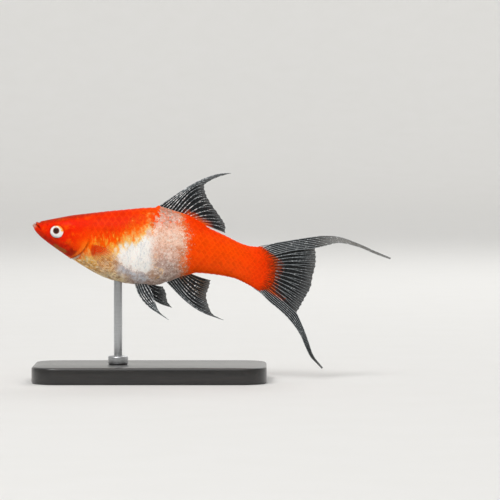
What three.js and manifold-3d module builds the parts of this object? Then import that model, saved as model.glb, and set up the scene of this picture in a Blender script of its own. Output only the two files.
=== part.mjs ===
// A female lyretail swordtail, a small freshwater fish, at life size on a plain display stand.
// Millimetres. The head points to -X, the tail to +X, the fish's left side to -Y, and Z is up.
// The origin is the middle of the underside of the stand's base.
// The fish hangs as it swims, head a little up. Snout to tail base is 72, body depth 23.
import * as THREE from "three";
import { mergeVertices } from "three/addons/utils/BufferGeometryUtils.js";
import Module from "manifold-3d";

const wasm = await Module();
wasm.setup();

// Clearance between pieces that meet
const GAP = 0.3;
// Where the body starts and ends along X, and a distance beyond the whole fish
const SNOUT = -35.25;
const TAIL = 38.5;
const BEYOND = 90;

// Side view of the body: height of the back and of the belly at distances along X
const BACK = [
  [SNOUT, 46.78], [-34.86, 47.1], [-34.2, 47.5], [-33.5, 47.78], [-31.5, 48.2], [-27.6, 48.96],
  [-21.9, 49.98], [-10.3, 51.27], [2.4, 52.14], [7.2, 50.9], [11.6, 49.4], [16.8, 46.5],
  [23.3, 43.4], [26.5, 41.75], [29.8, 40.6], [33.9, 40.3], [TAIL, 40.4],
];
const BELLY = [
  [SNOUT, 46.6], [-34.86, 45.96], [-34.44, 45.09], [-33.5, 43.95], [-32, 42.55], [-27.6, 39.3],
  [-21.9, 35.6], [-16, 32.05], [-10.3, 29.88], [-4.6, 28.95], [2.4, 28.8], [7.5, 30.9],
  [11.6, 32.19], [16.8, 32.16], [23.3, 31.2], [26.5, 30.3], [33, 26.85], [TAIL, 23.8],
];
// Half the width of the body, seen from above
const HALF_WIDTH = [
  [SNOUT, 0.45], [-34.86, 1.15], [-34.2, 1.75], [-33.1, 2.3], [-31.5, 2.95], [-27.6, 4.15],
  [-21.9, 5.05], [-13, 5.75], [-4.6, 6.0], [2.4, 5.6], [11.6, 4.3], [20, 3.05],
  [26.5, 2.15], [33, 1.3], [TAIL, 0.55],
];
// Height of the widest place, as a share of the depth, and how square the upper and lower
// halves of the section are: 2 is an ellipse, more is flatter on top
const WIDEST = [[SNOUT, 0.6], [-27.6, 0.56], [-16, 0.5], [0, 0.44], [20, 0.5], [TAIL, 0.5]];
const SQUARE_ABOVE = [[SNOUT, 2.3], [-28, 2.9], [-18, 2.4], [0, 1.9], [TAIL, 2.0]];
const SQUARE_BELOW = [[SNOUT, 2.0], [-28, 1.8], [-16, 1.9], [0, 2.2], [TAIL, 2.0]];

// Hind edge of the gill cover, from the nape down to the throat, and the bulge of the cover
const GILL_EDGE = [
  [-19.9, 53], [-19.5, 50], [-18.7, 47], [-18.0, 44.7], [-18.2, 42.6], [-18.8, 41],
  [-19.7, 39.6], [-20.9, 38.5], [-22.4, 37.6], [-23.9, 37.0], [-26, 36.3], [-30, 35.5],
];
const GILL_BULGE = { x: -20.5, z: 41.5, reachX: 6, reachZ: 5.5, height: 0.42 };
// The cut between the trunk and the tail stalk, behind the anal fin
const TRUNK_END = 18.5;

// Hind edge of the scaled tail stalk, where the tail fin grows
const TAIL_EDGE = [[33.9, 40.5], [36.75, 37.5], [37.5, 33.9], [36.6, 30.0], [33.3, 26.6]];
// Shares of that edge where the upper lobe ends and the lower lobe starts, and the split
const UPPER_SHARE = 0.17;
const LOWER_SHARE = 0.87;
const LOBE_SPLIT = 0.02;

// Eye, on both sides of the head: a low dome in a round socket with a raised rim
const EYE = { x: -27.93, z: 44.88, radius: 2.2, dome: 0.62, depth: 1.6, turn: 0.2, rim: 0.26 };
const SOCKET_REACH = 2.2;

// Mouth: the cleft runs up and forward from its corner between two angles, with a lip
// along each jaw that is drawn to the front of that jaw
const MOUTH = { x: -33.0, z: 45.95, length: 3.2, upper: 2.18, lower: 2.46, halfWidth: 2.05 };
const LIPS = [
  { x: -33.85, z: 47.55, radius: 0.3 },
  { x: -34.72, z: 46.98, radius: 0.34 },
];
// Two nostrils on each side, between the upper lip and the eye
const NOSTRILS = [{ x: -32.1, z: 47.0 }, { x: -30.5, z: 46.9 }];
const NOSTRIL = { radius: 0.24, rim: 0.17, depth: 0.7, turn: 0.4 };

// Fins: half the thickness of the membrane from the root to the free edge, how far a ray
// stands proud of it on each side, and how far the rays reach past the edge between them
const MEMBRANE = { root: 0.3, middle: 0.25, edge: 0.06 };
const RAY = { height: 0.15, tip: 0.05, past: 0.35 };

// Display stand
const BASE = { length: 70, width: 38, height: 5, corner: 8, bevel: 0.7 };
const ROD = { x: -9.6, radius: 1.25 };
const COLLAR = { radius: 3, height: 2.2, bevel: 0.5 };

// A smooth height over X through a few points
function profile(points) {
  const last = points.length - 1;
  const slopes = points.map((point, i) => {
    const before = points[Math.max(i - 1, 0)];
    const after = points[Math.min(i + 1, last)];
    return (after[1] - before[1]) / (after[0] - before[0]);
  });
  return (x) => {
    let i = 0;
    while (i < last - 1 && x > points[i + 1][0]) i += 1;
    const width = points[i + 1][0] - points[i][0];
    const t = THREE.MathUtils.clamp((x - points[i][0]) / width, 0, 1);
    const ease = t * t * (3 - 2 * t);
    const leave = t * (1 - t) * (1 - t) * width;
    const arrive = t * t * (t - 1) * width;
    return (
      points[i][1] * (1 - ease) + points[i + 1][1] * ease + slopes[i] * leave + slopes[i + 1] * arrive
    );
  };
}

// A smooth line in the side view through a few points
function line(points) {
  const places = points.map(([x, z]) => new THREE.Vector3(x, 0, z));
  return new THREE.CatmullRomCurve3(places, false, "centripetal");
}

// A closed solid from corners and triangles, turned so that its faces point out
function solidFrom(corners, triangles) {
  let volume = 0;
  for (const [a, b, c] of triangles) {
    volume += corners[a].dot(new THREE.Vector3().crossVectors(corners[b], corners[c]));
  }
  const out = volume > 0 ? triangles : triangles.map(([a, b, c]) => [a, c, b]);
  return new wasm.Manifold(
    new wasm.Mesh({
      numProp: 3,
      vertProperties: new Float32Array(corners.flatMap((p) => [p.x, p.y, p.z])),
      triVerts: new Uint32Array(out.flat()),
    }),
  );
}

// A three.js geometry as a solid
function solidOf(geometry) {
  const plain = new THREE.BufferGeometry().setAttribute("position", geometry.getAttribute("position"));
  if (geometry.index) plain.setIndex(geometry.index);
  const merged = mergeVertices(plain.index ? plain.toNonIndexed() : plain, 1e-4);
  return new wasm.Manifold(
    new wasm.Mesh({
      numProp: 3,
      vertProperties: new Float32Array(merged.attributes.position.array),
      triVerts: new Uint32Array(merged.index.array),
    }),
  );
}

// A solid through rings of corners, each end closed by a fan
function loft(rings) {
  const count = rings[0].length;
  const corners = rings.flat();
  const triangles = [];
  for (let i = 0; i + 1 < rings.length; i += 1) {
    for (let j = 0; j < count; j += 1) {
      const a = i * count + j;
      const b = i * count + ((j + 1) % count);
      triangles.push([a, a + count, b + count], [a, b + count, b]);
    }
  }
  for (const [ring, first, side] of [[rings[0], 0, 0], [rings.at(-1), corners.length - count, 1]]) {
    const centre = new THREE.Vector3();
    ring.forEach((corner) => centre.addScaledVector(corner, 1 / count));
    const tip = corners.push(centre) - 1;
    for (let j = 0; j < count; j += 1) {
      const a = first + j;
      const b = first + ((j + 1) % count);
      triangles.push(side ? [tip, b, a] : [tip, a, b]);
    }
  }
  return solidFrom(corners, triangles);
}

// A solid with a side outline in X and Z, as wide as the whole fish and more
function slab(outline) {
  const halfWidth = 30;
  const shape = new THREE.Shape(outline.map(([x, z]) => new THREE.Vector2(x, z)));
  const geometry = new THREE.ExtrudeGeometry(shape, { depth: 2 * halfWidth, bevelEnabled: false });
  return solidOf(geometry.rotateX(Math.PI / 2).translate(0, halfWidth, 0));
}

// The largest of the bodies that a cut leaves
function largest(solid) {
  return solid.decompose().sort((a, b) => b.volume() - a.volume())[0];
}

const backHeight = profile(BACK);
const bellyHeight = profile(BELLY);
const halfWidth = profile(HALF_WIDTH);
const widest = profile(WIDEST);
const squareAbove = profile(SQUARE_ABOVE);
const squareBelow = profile(SQUARE_BELOW);

// The upper or the lower half of a cross-section of the body, grown by a clearance: the
// height of its widest place, its reach up or down from there, its half width and squareness
function halfSection(x, upper, grow = 0) {
  const top = backHeight(x) + grow;
  const bottom = bellyHeight(x) - grow;
  const middle = bottom + widest(x) * (top - bottom);
  return {
    middle,
    reach: upper ? top - middle : bottom - middle,
    width: halfWidth(x) + grow,
    square: upper ? squareAbove(x) : squareBelow(x),
  };
}

// One cross-section of the body, all round
function section(x, sides, grow, bulge) {
  const ring = [];
  for (let i = 0; i < sides; i += 1) {
    const angle = (2 * Math.PI * i) / sides;
    const [across, up] = [Math.sin(angle), Math.cos(angle)];
    const { middle, reach, width, square } = halfSection(x, up > 0, grow);
    const y = width * Math.abs(across) ** (2 / square);
    const z = middle + reach * Math.abs(up) ** (2 / square);
    ring.push(new THREE.Vector3(x, Math.sign(across) * (y + bulge(x, z, across)), z));
  }
  return ring;
}

// How far out the side of the body lies at one place of the side view
function sideAt(x, z) {
  const upper = z > halfSection(x, true).middle;
  const { middle, reach, width, square } = halfSection(x, upper);
  const share = Math.min((z - middle) / reach, 1);
  return width * (1 - share ** square) ** (1 / square);
}

// Places of the rings: closest at the snout, wider apart along the head and then the trunk
function ringPlaces(snoutStep, headStep, trunkStep) {
  const [snoutEnd, headEnd] = [-31.5, -16];
  const places = [0, 0.13, 0.39, 0.75].map((back) => SNOUT + back);
  let x = SNOUT + 1.25;
  while (x < TAIL) {
    places.push(x);
    x += x < snoutEnd ? snoutStep : x < headEnd ? headStep : trunkStep;
  }
  return [...places, TAIL];
}

function bodySolid(sides, steps, grow = 0, bulge = () => 0) {
  return loft(ringPlaces(...steps).map((x) => section(x, sides, grow, bulge)));
}

// The swelling of the gill covers, which fades out over the back and the throat
function gillBulge(x, z, across) {
  const along = (x - GILL_BULGE.x) / GILL_BULGE.reachX;
  const up = (z - GILL_BULGE.z) / GILL_BULGE.reachZ;
  return GILL_BULGE.height * Math.exp(-along * along - up * up) * Math.min(1, 3 * Math.abs(across));
}

// Regions before the gill slit, behind it, and before the edge of the tail stalk
const gillLine = line(GILL_EDGE).getPoints(22).map((p) => [p.x, p.z]);
const beforeGills = slab([[-BEYOND, BEYOND], ...gillLine, [-BEYOND, 0]]);
const behindGills = slab([
  [TRUNK_END, BEYOND],
  ...gillLine.map(([x, z]) => [x + GAP, z - GAP]),
  [gillLine.at(-1)[0], 0],
  [TRUNK_END, 0],
]);
const tailCurve = line(TAIL_EDGE);
const tailLine = tailCurve.getPoints(20).map((p) => [p.x, p.z]);
const stalkRegion = slab([
  [TRUNK_END + GAP, BEYOND],
  [TRUNK_END + GAP, 0],
  [tailLine.at(-1)[0] - 1, 0],
  ...tailLine.toReversed(),
  [tailLine[0][0] - 1, BEYOND],
]);

// Turns a solid made about the Y axis so that it looks out of one side of the head
function outOfHead(geometry, side, x, z, y, turn) {
  const outward = new THREE.Vector3(-Math.sin(turn), side * Math.cos(turn), 0.05).normalize();
  const pose = new THREE.Quaternion().setFromUnitVectors(new THREE.Vector3(0, 1, 0), outward);
  return geometry.applyQuaternion(pose).translate(x, side * y, z);
}

function lathe(outline, segments) {
  return new THREE.LatheGeometry(outline.map(([r, y]) => new THREE.Vector2(r, y)), segments);
}

// The eye, or with clearance its socket, which stays open to the outside
function eyeShape(side, clearance) {
  const r = EYE.radius + clearance;
  const back = -EYE.depth - clearance;
  const front = clearance ? SOCKET_REACH : EYE.dome;
  const dome = clearance
    ? [[r, front]]
    : [[r * 0.9, front * 0.42], [r * 0.68, front * 0.74], [r * 0.36, front * 0.94]];
  const outline = [[0, back], [r * 0.62, back * 0.82], [r * 0.93, back * 0.42], [r, 0], ...dome, [0, front]];
  const y = sideAt(EYE.x, EYE.z);
  return solidOf(outOfHead(lathe(outline, 24), side, EYE.x, EYE.z, y, EYE.turn));
}

// The rim of the orbit and of a nostril: a ring half sunk in the skin
function ring(side, x, z, radius, thickness, turn, segments) {
  const torus = new THREE.TorusGeometry(radius, thickness, 6, segments).rotateX(Math.PI / 2);
  return solidOf(outOfHead(torus, side, x, z, sideAt(x, z), turn));
}

function nostrilPit(side, x, z) {
  const pit = new THREE.CylinderGeometry(NOSTRIL.radius, NOSTRIL.radius * 0.6, 2 * NOSTRIL.depth, 8);
  return solidOf(outOfHead(pit, side, x, z, sideAt(x, z), NOSTRIL.turn));
}

// A lip follows half an ellipse from one corner of the mouth round the jaw to the other
function lip({ x, z, radius }) {
  const steps = 12;
  const rings = [];
  for (let i = 0; i <= steps; i += 1) {
    const angle = Math.PI * (i / steps - 0.5);
    const reach = Math.cos(angle);
    const centre = new THREE.Vector3(
      MOUTH.x + (x - MOUTH.x) * reach,
      MOUTH.halfWidth * Math.sin(angle),
      MOUTH.z + (z - MOUTH.z) * reach,
    );
    const along = new THREE.Vector3(0, Math.cos(angle), 0);
    along.x = (MOUTH.x - x) * Math.sin(angle);
    along.z = (MOUTH.z - z) * Math.sin(angle);
    along.normalize();
    const out = new THREE.Vector3((x - MOUTH.x) * reach, Math.sin(angle), (z - MOUTH.z) * reach);
    out.addScaledVector(along, -out.dot(along)).normalize();
    const over = new THREE.Vector3().crossVectors(along, out);
    const thick = radius * (0.55 + 0.45 * reach);
    rings.push(
      Array.from({ length: 8 }, (_, k) => {
        const turn = (k * Math.PI) / 4;
        return centre
          .clone()
          .addScaledVector(out, thick * Math.cos(turn))
          .addScaledVector(over, thick * Math.sin(turn));
      }),
    );
  }
  return loft(rings);
}

function headSolid() {
  const jaw = (angle) => [
    MOUTH.x + MOUTH.length * Math.cos(angle),
    MOUTH.z + MOUTH.length * Math.sin(angle),
  ];
  const cleft = slab([[MOUTH.x, MOUTH.z], jaw(MOUTH.upper), jaw(MOUTH.lower)]);
  let head = bodySolid(34, [0.7, 1.05, 2.2], 0, gillBulge).intersect(beforeGills);
  for (const front of LIPS) head = head.add(lip(front));
  head = head.subtract(cleft);
  for (const side of [-1, 1]) {
    head = head.add(ring(side, EYE.x, EYE.z, EYE.radius + GAP + EYE.rim * 0.7, EYE.rim, EYE.turn, 24));
    head = head.subtract(eyeShape(side, GAP));
    for (const { x, z } of NOSTRILS) {
      head = head.add(ring(side, x, z, NOSTRIL.radius + NOSTRIL.rim, NOSTRIL.rim, NOSTRIL.turn, 10));
      head = head.subtract(nostrilPit(side, x, z));
    }
  }
  return largest(head);
}

// A fin as a patch between four lines: its root, its free edge, and its leading and
// trailing rays. Grid columns alternate between the crest of a ray and the membrane, and
// rays that fork have four columns each. The whole fin bends gently to one side.
function finSolid({ root, edge, lead, trail, rays, rows, bend = 0, fork = 0, past = RAY.past }) {
  const corner = {
    rootLead: root.getPoint(0), rootTrail: root.getPoint(1),
    edgeLead: edge.getPoint(0), edgeTrail: edge.getPoint(1),
  };
  const perRay = fork ? 4 : 2;
  const columns = (rays - 1) * perRay;
  const { lerp, smoothstep } = THREE.MathUtils;
  const place = (u, v) =>
    new THREE.Vector3()
      .addScaledVector(root.getPointAt(u), 1 - v)
      .addScaledVector(edge.getPoint(u), v)
      .addScaledVector(lead.getPointAt(v), 1 - u)
      .addScaledVector(trail.getPointAt(v), u)
      .addScaledVector(corner.rootLead, -(1 - u) * (1 - v))
      .addScaledVector(corner.rootTrail, -u * (1 - v))
      .addScaledVector(corner.edgeLead, -(1 - u) * v)
      .addScaledVector(corner.edgeTrail, -u * v);
  const isRay = (i, v) => {
    if (i === 0 || i === columns) return true;
    return fork && v > fork ? i % 2 === 1 : i % perRay === 0;
  };
  const corners = [];
  for (const side of [1, -1]) {
    for (let i = 0; i <= columns; i += 1) {
      const u = i / columns;
      const length = root.getPointAt(u).distanceTo(edge.getPoint(u));
      const reach = isRay(i, 1) ? 1 : 1 - past / length;
      for (let j = 0; j <= rows; j += 1) {
        const v = j / rows;
        const point = place(u, j === rows ? reach : v);
        const inner = lerp(MEMBRANE.root, MEMBRANE.middle, Math.min(v * 4, 1));
        const ray = isRay(i, v) ? lerp(RAY.height, RAY.tip, v * v) : 0;
        const half = lerp(inner, MEMBRANE.edge, smoothstep(v, 0.7, 1)) + ray;
        point.y += side * half + bend * v * v;
        corners.push(point);
      }
    }
  }
  const faceCount = (columns + 1) * (rows + 1);
  const at = (i, j) => i * (rows + 1) + j;
  const triangles = [];
  for (let i = 0; i < columns; i += 1) {
    for (let j = 0; j < rows; j += 1) {
      const [a, b, c, d] = [at(i, j), at(i + 1, j), at(i + 1, j + 1), at(i, j + 1)];
      triangles.push([a, b, c], [a, c, d]);
      triangles.push([a + faceCount, c + faceCount, b + faceCount]);
      triangles.push([a + faceCount, d + faceCount, c + faceCount]);
    }
  }
  const border = [];
  for (let i = 0; i < columns; i += 1) border.push(at(i, 0));
  for (let j = 0; j < rows; j += 1) border.push(at(columns, j));
  for (let i = columns; i > 0; i -= 1) border.push(at(i, rows));
  for (let j = rows; j > 0; j -= 1) border.push(at(0, j));
  border.forEach((a, k) => {
    const b = border[(k + 1) % border.length];
    triangles.push([b, a, a + faceCount], [b, a + faceCount, b + faceCount]);
  });
  return solidFrom(corners, triangles);
}

// A line between two places that follows a height over X
function along(height, from, to, offset) {
  const points = [];
  for (let i = 0; i <= 6; i += 1) {
    const x = from + ((to - from) * i) / 6;
    points.push([x, height(x) + offset]);
  }
  return line(points);
}

// Part of the tail stalk's edge, set off from it by the clearance
function tailRoot(from, to) {
  const points = [];
  for (let i = 0; i <= 8; i += 1) {
    const t = from + ((to - from) * i) / 8;
    const place = tailCurve.getPointAt(t);
    const down = tailCurve.getTangentAt(t);
    points.push([place.x - GAP * down.z, place.z + GAP * down.x]);
  }
  return line(points);
}

// A fin's four lines, where each side starts at an end of the root and runs to an end of the edge
function fin(root, leadPoints, edgePoints, trailPoints, details) {
  const start = (t) => {
    const p = root.getPoint(t);
    return [p.x, p.z];
  };
  return finSolid({
    root,
    lead: line([start(0), ...leadPoints, edgePoints[0]]),
    edge: line(edgePoints),
    trail: line([start(1), ...trailPoints, edgePoints.at(-1)]),
    ...details,
  });
}

// Fins of the midline. Each lists points of its leading ray, of its free edge from the
// leading to the hind corner, and of its last ray.
const dorsalFin = fin(
  along(backHeight, 2.6, 16.0, GAP),
  [[8.6, 56.4], [12.1, 58.6], [15.5, 60.3], [20.7, 61.9]],
  [
    [24.3, 62.2], [20.7, 61.4], [18.1, 60.2], [16.4, 58.8],
    [17.2, 55.2], [20.5, 50.2], [22.6, 46.9], [22.6, 44.5],
  ],
  [[19.0, 45.9]],
  { rays: 13, rows: 9, bend: -1.2 },
);

const analFin = fin(
  along(bellyHeight, 5.1, 12.1, -GAP),
  [[7.8, 26.8], [9.9, 24.7], [13.1, 22.1], [16.3, 20.3]],
  [[22.1, 18.2], [18.8, 20.0], [17.5, 22.8], [16.9, 25.5], [17.7, 28.0], [18.2, 30.1]],
  [[15.2, 31.0]],
  { rays: 9, rows: 8, bend: 0.9 },
);

// The tail fin: a fan of forked rays between two lobes that are drawn out into long tips
const upperLobe = fin(
  tailRoot(0, UPPER_SHARE),
  [[36, 40.9], [42.1, 42.1], [49.2, 43.2], [52.1, 43.5], [56.7, 43.2], [62.5, 41.2], [67.6, 38.9]],
  [[72.3, 36.9], [72.1, 36.6]],
  [[42, 39.2], [49.6, 40.1], [53.6, 40.9], [56.7, 41.5], [62.5, 40.3], [67.6, 38.2]],
  { rays: 4, rows: 18, bend: -1.6, past: 0 },
);

const tailFan = fin(
  tailRoot(UPPER_SHARE + LOBE_SPLIT, LOWER_SHARE),
  [[42, 38.85]],
  [[49.6, 39.7], [49.7, 34.8], [48.9, 31.5], [48.2, 27.7], [46.4, 24.8], [43.9, 21.0]],
  [[39.35, 24.85]],
  { rays: 12, rows: 8, bend: 0.6, fork: 0.4 },
);

const lowerLobe = fin(
  tailRoot(LOWER_SHARE + LOBE_SPLIT, 1),
  [[39.1, 24.4], [42.1, 21.5], [43.9, 19.6], [44.9, 17.8], [46.3, 15], [47.6, 11.4], [49.1, 7.4]],
  [[51.95, 3.75], [51.65, 3.5]],
  [
    [35.6, 24.1], [39.2, 21.1], [41.5, 18.8], [43.4, 16.5],
    [45.3, 13.5], [46.8, 10], [48.2, 7.2], [50, 5.2],
  ],
  { rays: 4, rows: 18, bend: 1.5, past: 0 },
);

// Paired fins and the rod start inside the body and are cut back to the clearance
const bodyGrown = bodySolid(36, [0.7, 1.05, 2.0], GAP);

function pairedFin(shape, pose) {
  return largest(shape.transform(pose.elements).subtract(bodyGrown));
}

// Swings a fin drawn in the side view about its own place: out from the tail end, then
// out from below, and sets it off to one side of the fish
function swing(spread, splay, x, y, z) {
  return new THREE.Matrix4()
    .makeTranslation(x, y, z)
    .multiply(new THREE.Matrix4().makeRotationX(splay))
    .multiply(new THREE.Matrix4().makeRotationZ(spread))
    .multiply(new THREE.Matrix4().makeTranslation(-x, 0, -z));
}

// Pectoral fin: a fan behind the gill cover, held a little away from the side
const PECTORAL = { x: -16.6, z: 39.2, halfRoot: 1.7, sink: 1.1, spread: 0.4, tuck: 0.2, inset: 0.15 };
function pectoralFin(side) {
  const { x, z, halfRoot, sink, spread, tuck, inset } = PECTORAL;
  const shape = fin(
    line([[x - sink, z + halfRoot], [x - sink * 1.1, z], [x - sink, z - halfRoot]]),
    [[x + 1.5, z + halfRoot], [x + 5, z + 1.0]],
    [[x + 8.2, z - 1.2], [x + 8.7, z - 3.6], [x + 7.3, z - 5.8], [x + 5.0, z - 6.5], [x + 3.0, z - 6.1]],
    [[x + 0.8, z - 3.0]],
    { rays: 10, rows: 6, bend: side * 0.5 },
  );
  const y = side * (sideAt(x, z) - inset);
  return pairedFin(shape, swing(side * spread, -side * tuck, x, y, z));
}

// Pelvic fins: under the belly side by side, the left one folded down, the right one spread back
const PELVIC = { z: 29.6, y: 1.7, splay: 0.33 };
const PELVIC_FORMS = {
  left: {
    root: [[-4.7, 29.7], [-1.5, 29.7]],
    lead: [[-2.9, 25.2], [-0.1, 21.9], [2.6, 20.0]],
    edge: [[5.7, 17.9], [2.9, 20.4], [1.6, 23.3]],
    trail: [[0.4, 26.8]],
  },
  right: {
    root: [[-3.7, 29.7], [-0.4, 29.7]],
    lead: [[-0.9, 25.4], [2.7, 22.7]],
    edge: [[6.5, 21.2], [5.2, 23.1], [4.7, 26.1], [3.9, 27.9]],
    trail: [[1.8, 28.4]],
  },
};
function pelvicFin(name, side) {
  const { root, lead, edge, trail } = PELVIC_FORMS[name];
  const shape = fin(line(root), lead, edge, trail, { rays: 6, rows: 7, bend: side * 0.4 });
  return pairedFin(shape, swing(0, side * PELVIC.splay, 0, side * PELVIC.y, PELVIC.z));
}

// Stand: a rounded plate, a collar and one rod that is cut to the slope of the belly
function roundedPlate({ length, width, corner }) {
  const [x, y] = [length / 2 - corner, width / 2 - corner];
  const shape = new THREE.Shape();
  shape.absarc(x, y, corner, 0, Math.PI / 2);
  shape.absarc(-x, y, corner, Math.PI / 2, Math.PI);
  shape.absarc(-x, -y, corner, Math.PI, 1.5 * Math.PI);
  shape.absarc(x, -y, corner, 1.5 * Math.PI, 2 * Math.PI);
  return shape;
}

function baseSolid() {
  const inner = { length: BASE.length - 2 * BASE.bevel, width: BASE.width - 2 * BASE.bevel };
  const shape = roundedPlate({ ...inner, corner: BASE.corner - BASE.bevel });
  const geometry = new THREE.ExtrudeGeometry(shape, {
    depth: BASE.height - 2 * BASE.bevel,
    bevelSize: BASE.bevel,
    bevelThickness: BASE.bevel,
    bevelSegments: 2,
    curveSegments: 8,
  });
  return solidOf(geometry.translate(0, 0, BASE.bevel));
}

function collarSolid() {
  const { radius, height, bevel } = COLLAR;
  const bore = ROD.radius + GAP;
  const outline = [[bore, 0], [radius, 0], [radius, height - bevel], [radius - bevel, height]];
  const geometry = lathe([...outline, [bore, height], [bore, 0]], 32);
  return solidOf(geometry.rotateX(Math.PI / 2).translate(ROD.x, 0, BASE.height + GAP));
}

function rodSolid() {
  const foot = BASE.height + GAP;
  const length = 34 - foot;
  const geometry = new THREE.CylinderGeometry(ROD.radius, ROD.radius, length, 24);
  geometry.rotateX(Math.PI / 2).translate(ROD.x, 0, foot + length / 2);
  return largest(solidOf(geometry).subtract(bodyGrown));
}

// Colours and finishes
function finish(color, roughness, metalness = 0) {
  return new THREE.MeshStandardMaterial({ color, roughness, metalness });
}
const redSkin = finish(0xf03a10, 0.35);
const paleSkin = finish(0xf4d9c8, 0.35);
const orangeSkin = finish(0xff4b05, 0.35);
const smokyFin = finish(0x2a3033, 0.3);
const amberFin = finish(0xe07a30, 0.3);
const eyeWhite = finish(0xf2f0ea, 0.1);
const blackLacquer = finish(0x1c1c1e, 0.3);
const steel = finish(0xb8babd, 0.3, 1);

const fish = new THREE.Group();
function piece(name, solid, material) {
  const { vertProperties, triVerts } = solid.getMesh();
  const geometry = new THREE.BufferGeometry();
  geometry.setAttribute("position", new THREE.BufferAttribute(vertProperties, 3));
  geometry.setIndex(new THREE.BufferAttribute(triVerts, 1));
  geometry.computeVertexNormals();
  const mesh = new THREE.Mesh(geometry, material);
  mesh.name = name;
  fish.add(mesh);
}

const trunkSteps = [1.2, 1.3, 2.0];
piece("head", headSolid(), redSkin);
piece("trunk", largest(bodySolid(36, trunkSteps).intersect(behindGills)), paleSkin);
piece("tail_stalk", largest(bodySolid(36, trunkSteps).intersect(stalkRegion)), orangeSkin);
piece("dorsal_fin", dorsalFin, smokyFin);
piece("anal_fin", analFin, smokyFin);
piece("caudal_fin_upper_lobe", upperLobe, smokyFin);
piece("caudal_fin_fan", tailFan, smokyFin);
piece("caudal_fin_lower_lobe", lowerLobe, smokyFin);
for (const [name, side] of [["left", -1], ["right", 1]]) {
  piece(`eye_${name}`, eyeShape(side, 0), eyeWhite);
  piece(`pectoral_fin_${name}`, pectoralFin(side), amberFin);
  piece(`pelvic_fin_${name}`, pelvicFin(name, side), smokyFin);
}
piece("stand_base", baseSolid(), blackLacquer);
piece("stand_collar", collarSolid(), steel);
piece("stand_rod", rodSolid(), steel);

export default fish;
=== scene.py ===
# A female lyretail swordtail as a life-size museum model on a plain display stand.
# The head points to -X and the tail to +X, the fish's left side faces -Y, and Z is up.
# Shapes are worked out in millimetres and laid down in metres.
import math

import bpy
import numpy as np
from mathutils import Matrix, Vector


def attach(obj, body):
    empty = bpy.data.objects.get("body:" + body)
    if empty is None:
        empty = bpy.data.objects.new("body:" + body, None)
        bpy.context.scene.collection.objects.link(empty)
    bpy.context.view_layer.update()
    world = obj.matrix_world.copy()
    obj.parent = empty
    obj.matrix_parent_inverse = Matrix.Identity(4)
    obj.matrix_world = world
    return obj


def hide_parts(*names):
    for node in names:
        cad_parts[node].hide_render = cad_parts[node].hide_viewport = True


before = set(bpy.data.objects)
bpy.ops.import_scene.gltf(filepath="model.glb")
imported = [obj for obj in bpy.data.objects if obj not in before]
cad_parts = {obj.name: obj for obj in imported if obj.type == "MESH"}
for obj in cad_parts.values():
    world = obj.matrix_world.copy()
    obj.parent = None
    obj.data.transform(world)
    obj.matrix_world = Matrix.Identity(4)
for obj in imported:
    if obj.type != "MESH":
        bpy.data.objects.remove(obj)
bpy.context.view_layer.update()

# Body skin: one seamless skin over head, trunk and tail stalk, painted in orange-red with a
# pale saddle and a white belly. The real one is thin skin over muscle and bone, with a mouth
# that opens upwards, two nostrils on each side and a stiff cover over the gills.
MM = 0.001
SNOUT = -35.25
TAIL = 38.5
BACK = [
    (SNOUT, 46.78), (-34.86, 47.1), (-34.2, 47.5), (-33.5, 47.78), (-31.5, 48.2), (-27.6, 48.96),
    (-21.9, 49.98), (-10.3, 51.27), (2.4, 52.14), (7.2, 50.9), (11.6, 49.4), (16.8, 46.5),
    (23.3, 43.4), (26.5, 41.75), (29.8, 40.6), (33.9, 40.3), (TAIL, 40.4),
]
BELLY = [
    (SNOUT, 46.6), (-34.86, 45.96), (-34.44, 45.09), (-33.5, 43.95), (-32, 42.55), (-27.6, 39.3),
    (-21.9, 35.6), (-16, 32.05), (-10.3, 29.88), (-4.6, 28.95), (2.4, 28.8), (7.5, 30.9),
    (11.6, 32.19), (16.8, 32.16), (23.3, 31.2), (26.5, 30.3), (33, 26.85), (TAIL, 23.8),
]
HALF_WIDTH = [
    (SNOUT, 0.45), (-34.86, 1.15), (-34.2, 1.75), (-33.1, 2.3), (-31.5, 2.95), (-27.6, 4.15),
    (-21.9, 5.05), (-13, 5.75), (-4.6, 6.0), (2.4, 5.6), (11.6, 4.3), (20, 3.05),
    (26.5, 2.15), (33, 1.3), (TAIL, 0.55),
]
WIDEST = [(SNOUT, 0.6), (-27.6, 0.56), (-16, 0.5), (0, 0.44), (20, 0.5), (TAIL, 0.5)]
SQUARE_ABOVE = [(SNOUT, 2.3), (-28, 2.9), (-18, 2.4), (0, 1.9), (TAIL, 2.0)]
SQUARE_BELOW = [(SNOUT, 2.0), (-28, 1.8), (-16, 1.9), (0, 2.2), (TAIL, 2.0)]
GILL_BULGE = {"x": -20.5, "z": 41.5, "reach_x": 6.0, "reach_z": 5.5, "height": 0.42}
# Depth of the skin under the CAD body: next to nothing on the head, the scales' depth behind it
COAT = [(SNOUT, 0.02), (-24, 0.05), (-16, 0.16), (20, 0.16), (33, 0.1), (TAIL, 0.06)]
# The stalk ends in a curved edge, given as X over Z, which the last rings lean towards while they
# get thinner
STALK_LEAN = 26.5
STALK_MIDDLE = 37.5
STALK_THINNING = 0.85
TAIL_EDGE = [(26.6, 33.3), (30.0, 36.6), (33.9, 37.5), (37.5, 36.75), (40.5, 33.9)]
TAIL_EDGE_MIDDLE, TAIL_EDGE_HALF = 33.5, 7.0
RAY_RIDGES, RAY_RIDGE_HEIGHT = 17, 0.07
# Hind edge of the gill cover, X over Z
GILL_EDGE = [
    (35.5, -29), (36.3, -25.3), (37.0, -23.2), (37.6, -21.9), (38.5, -20.6), (39.6, -19.6),
    (41, -18.7), (42.6, -18.1), (44.7, -18.0), (47, -18.6), (50, -19.5), (53, -19.9),
]
GILL_TOP = 45.0
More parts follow.
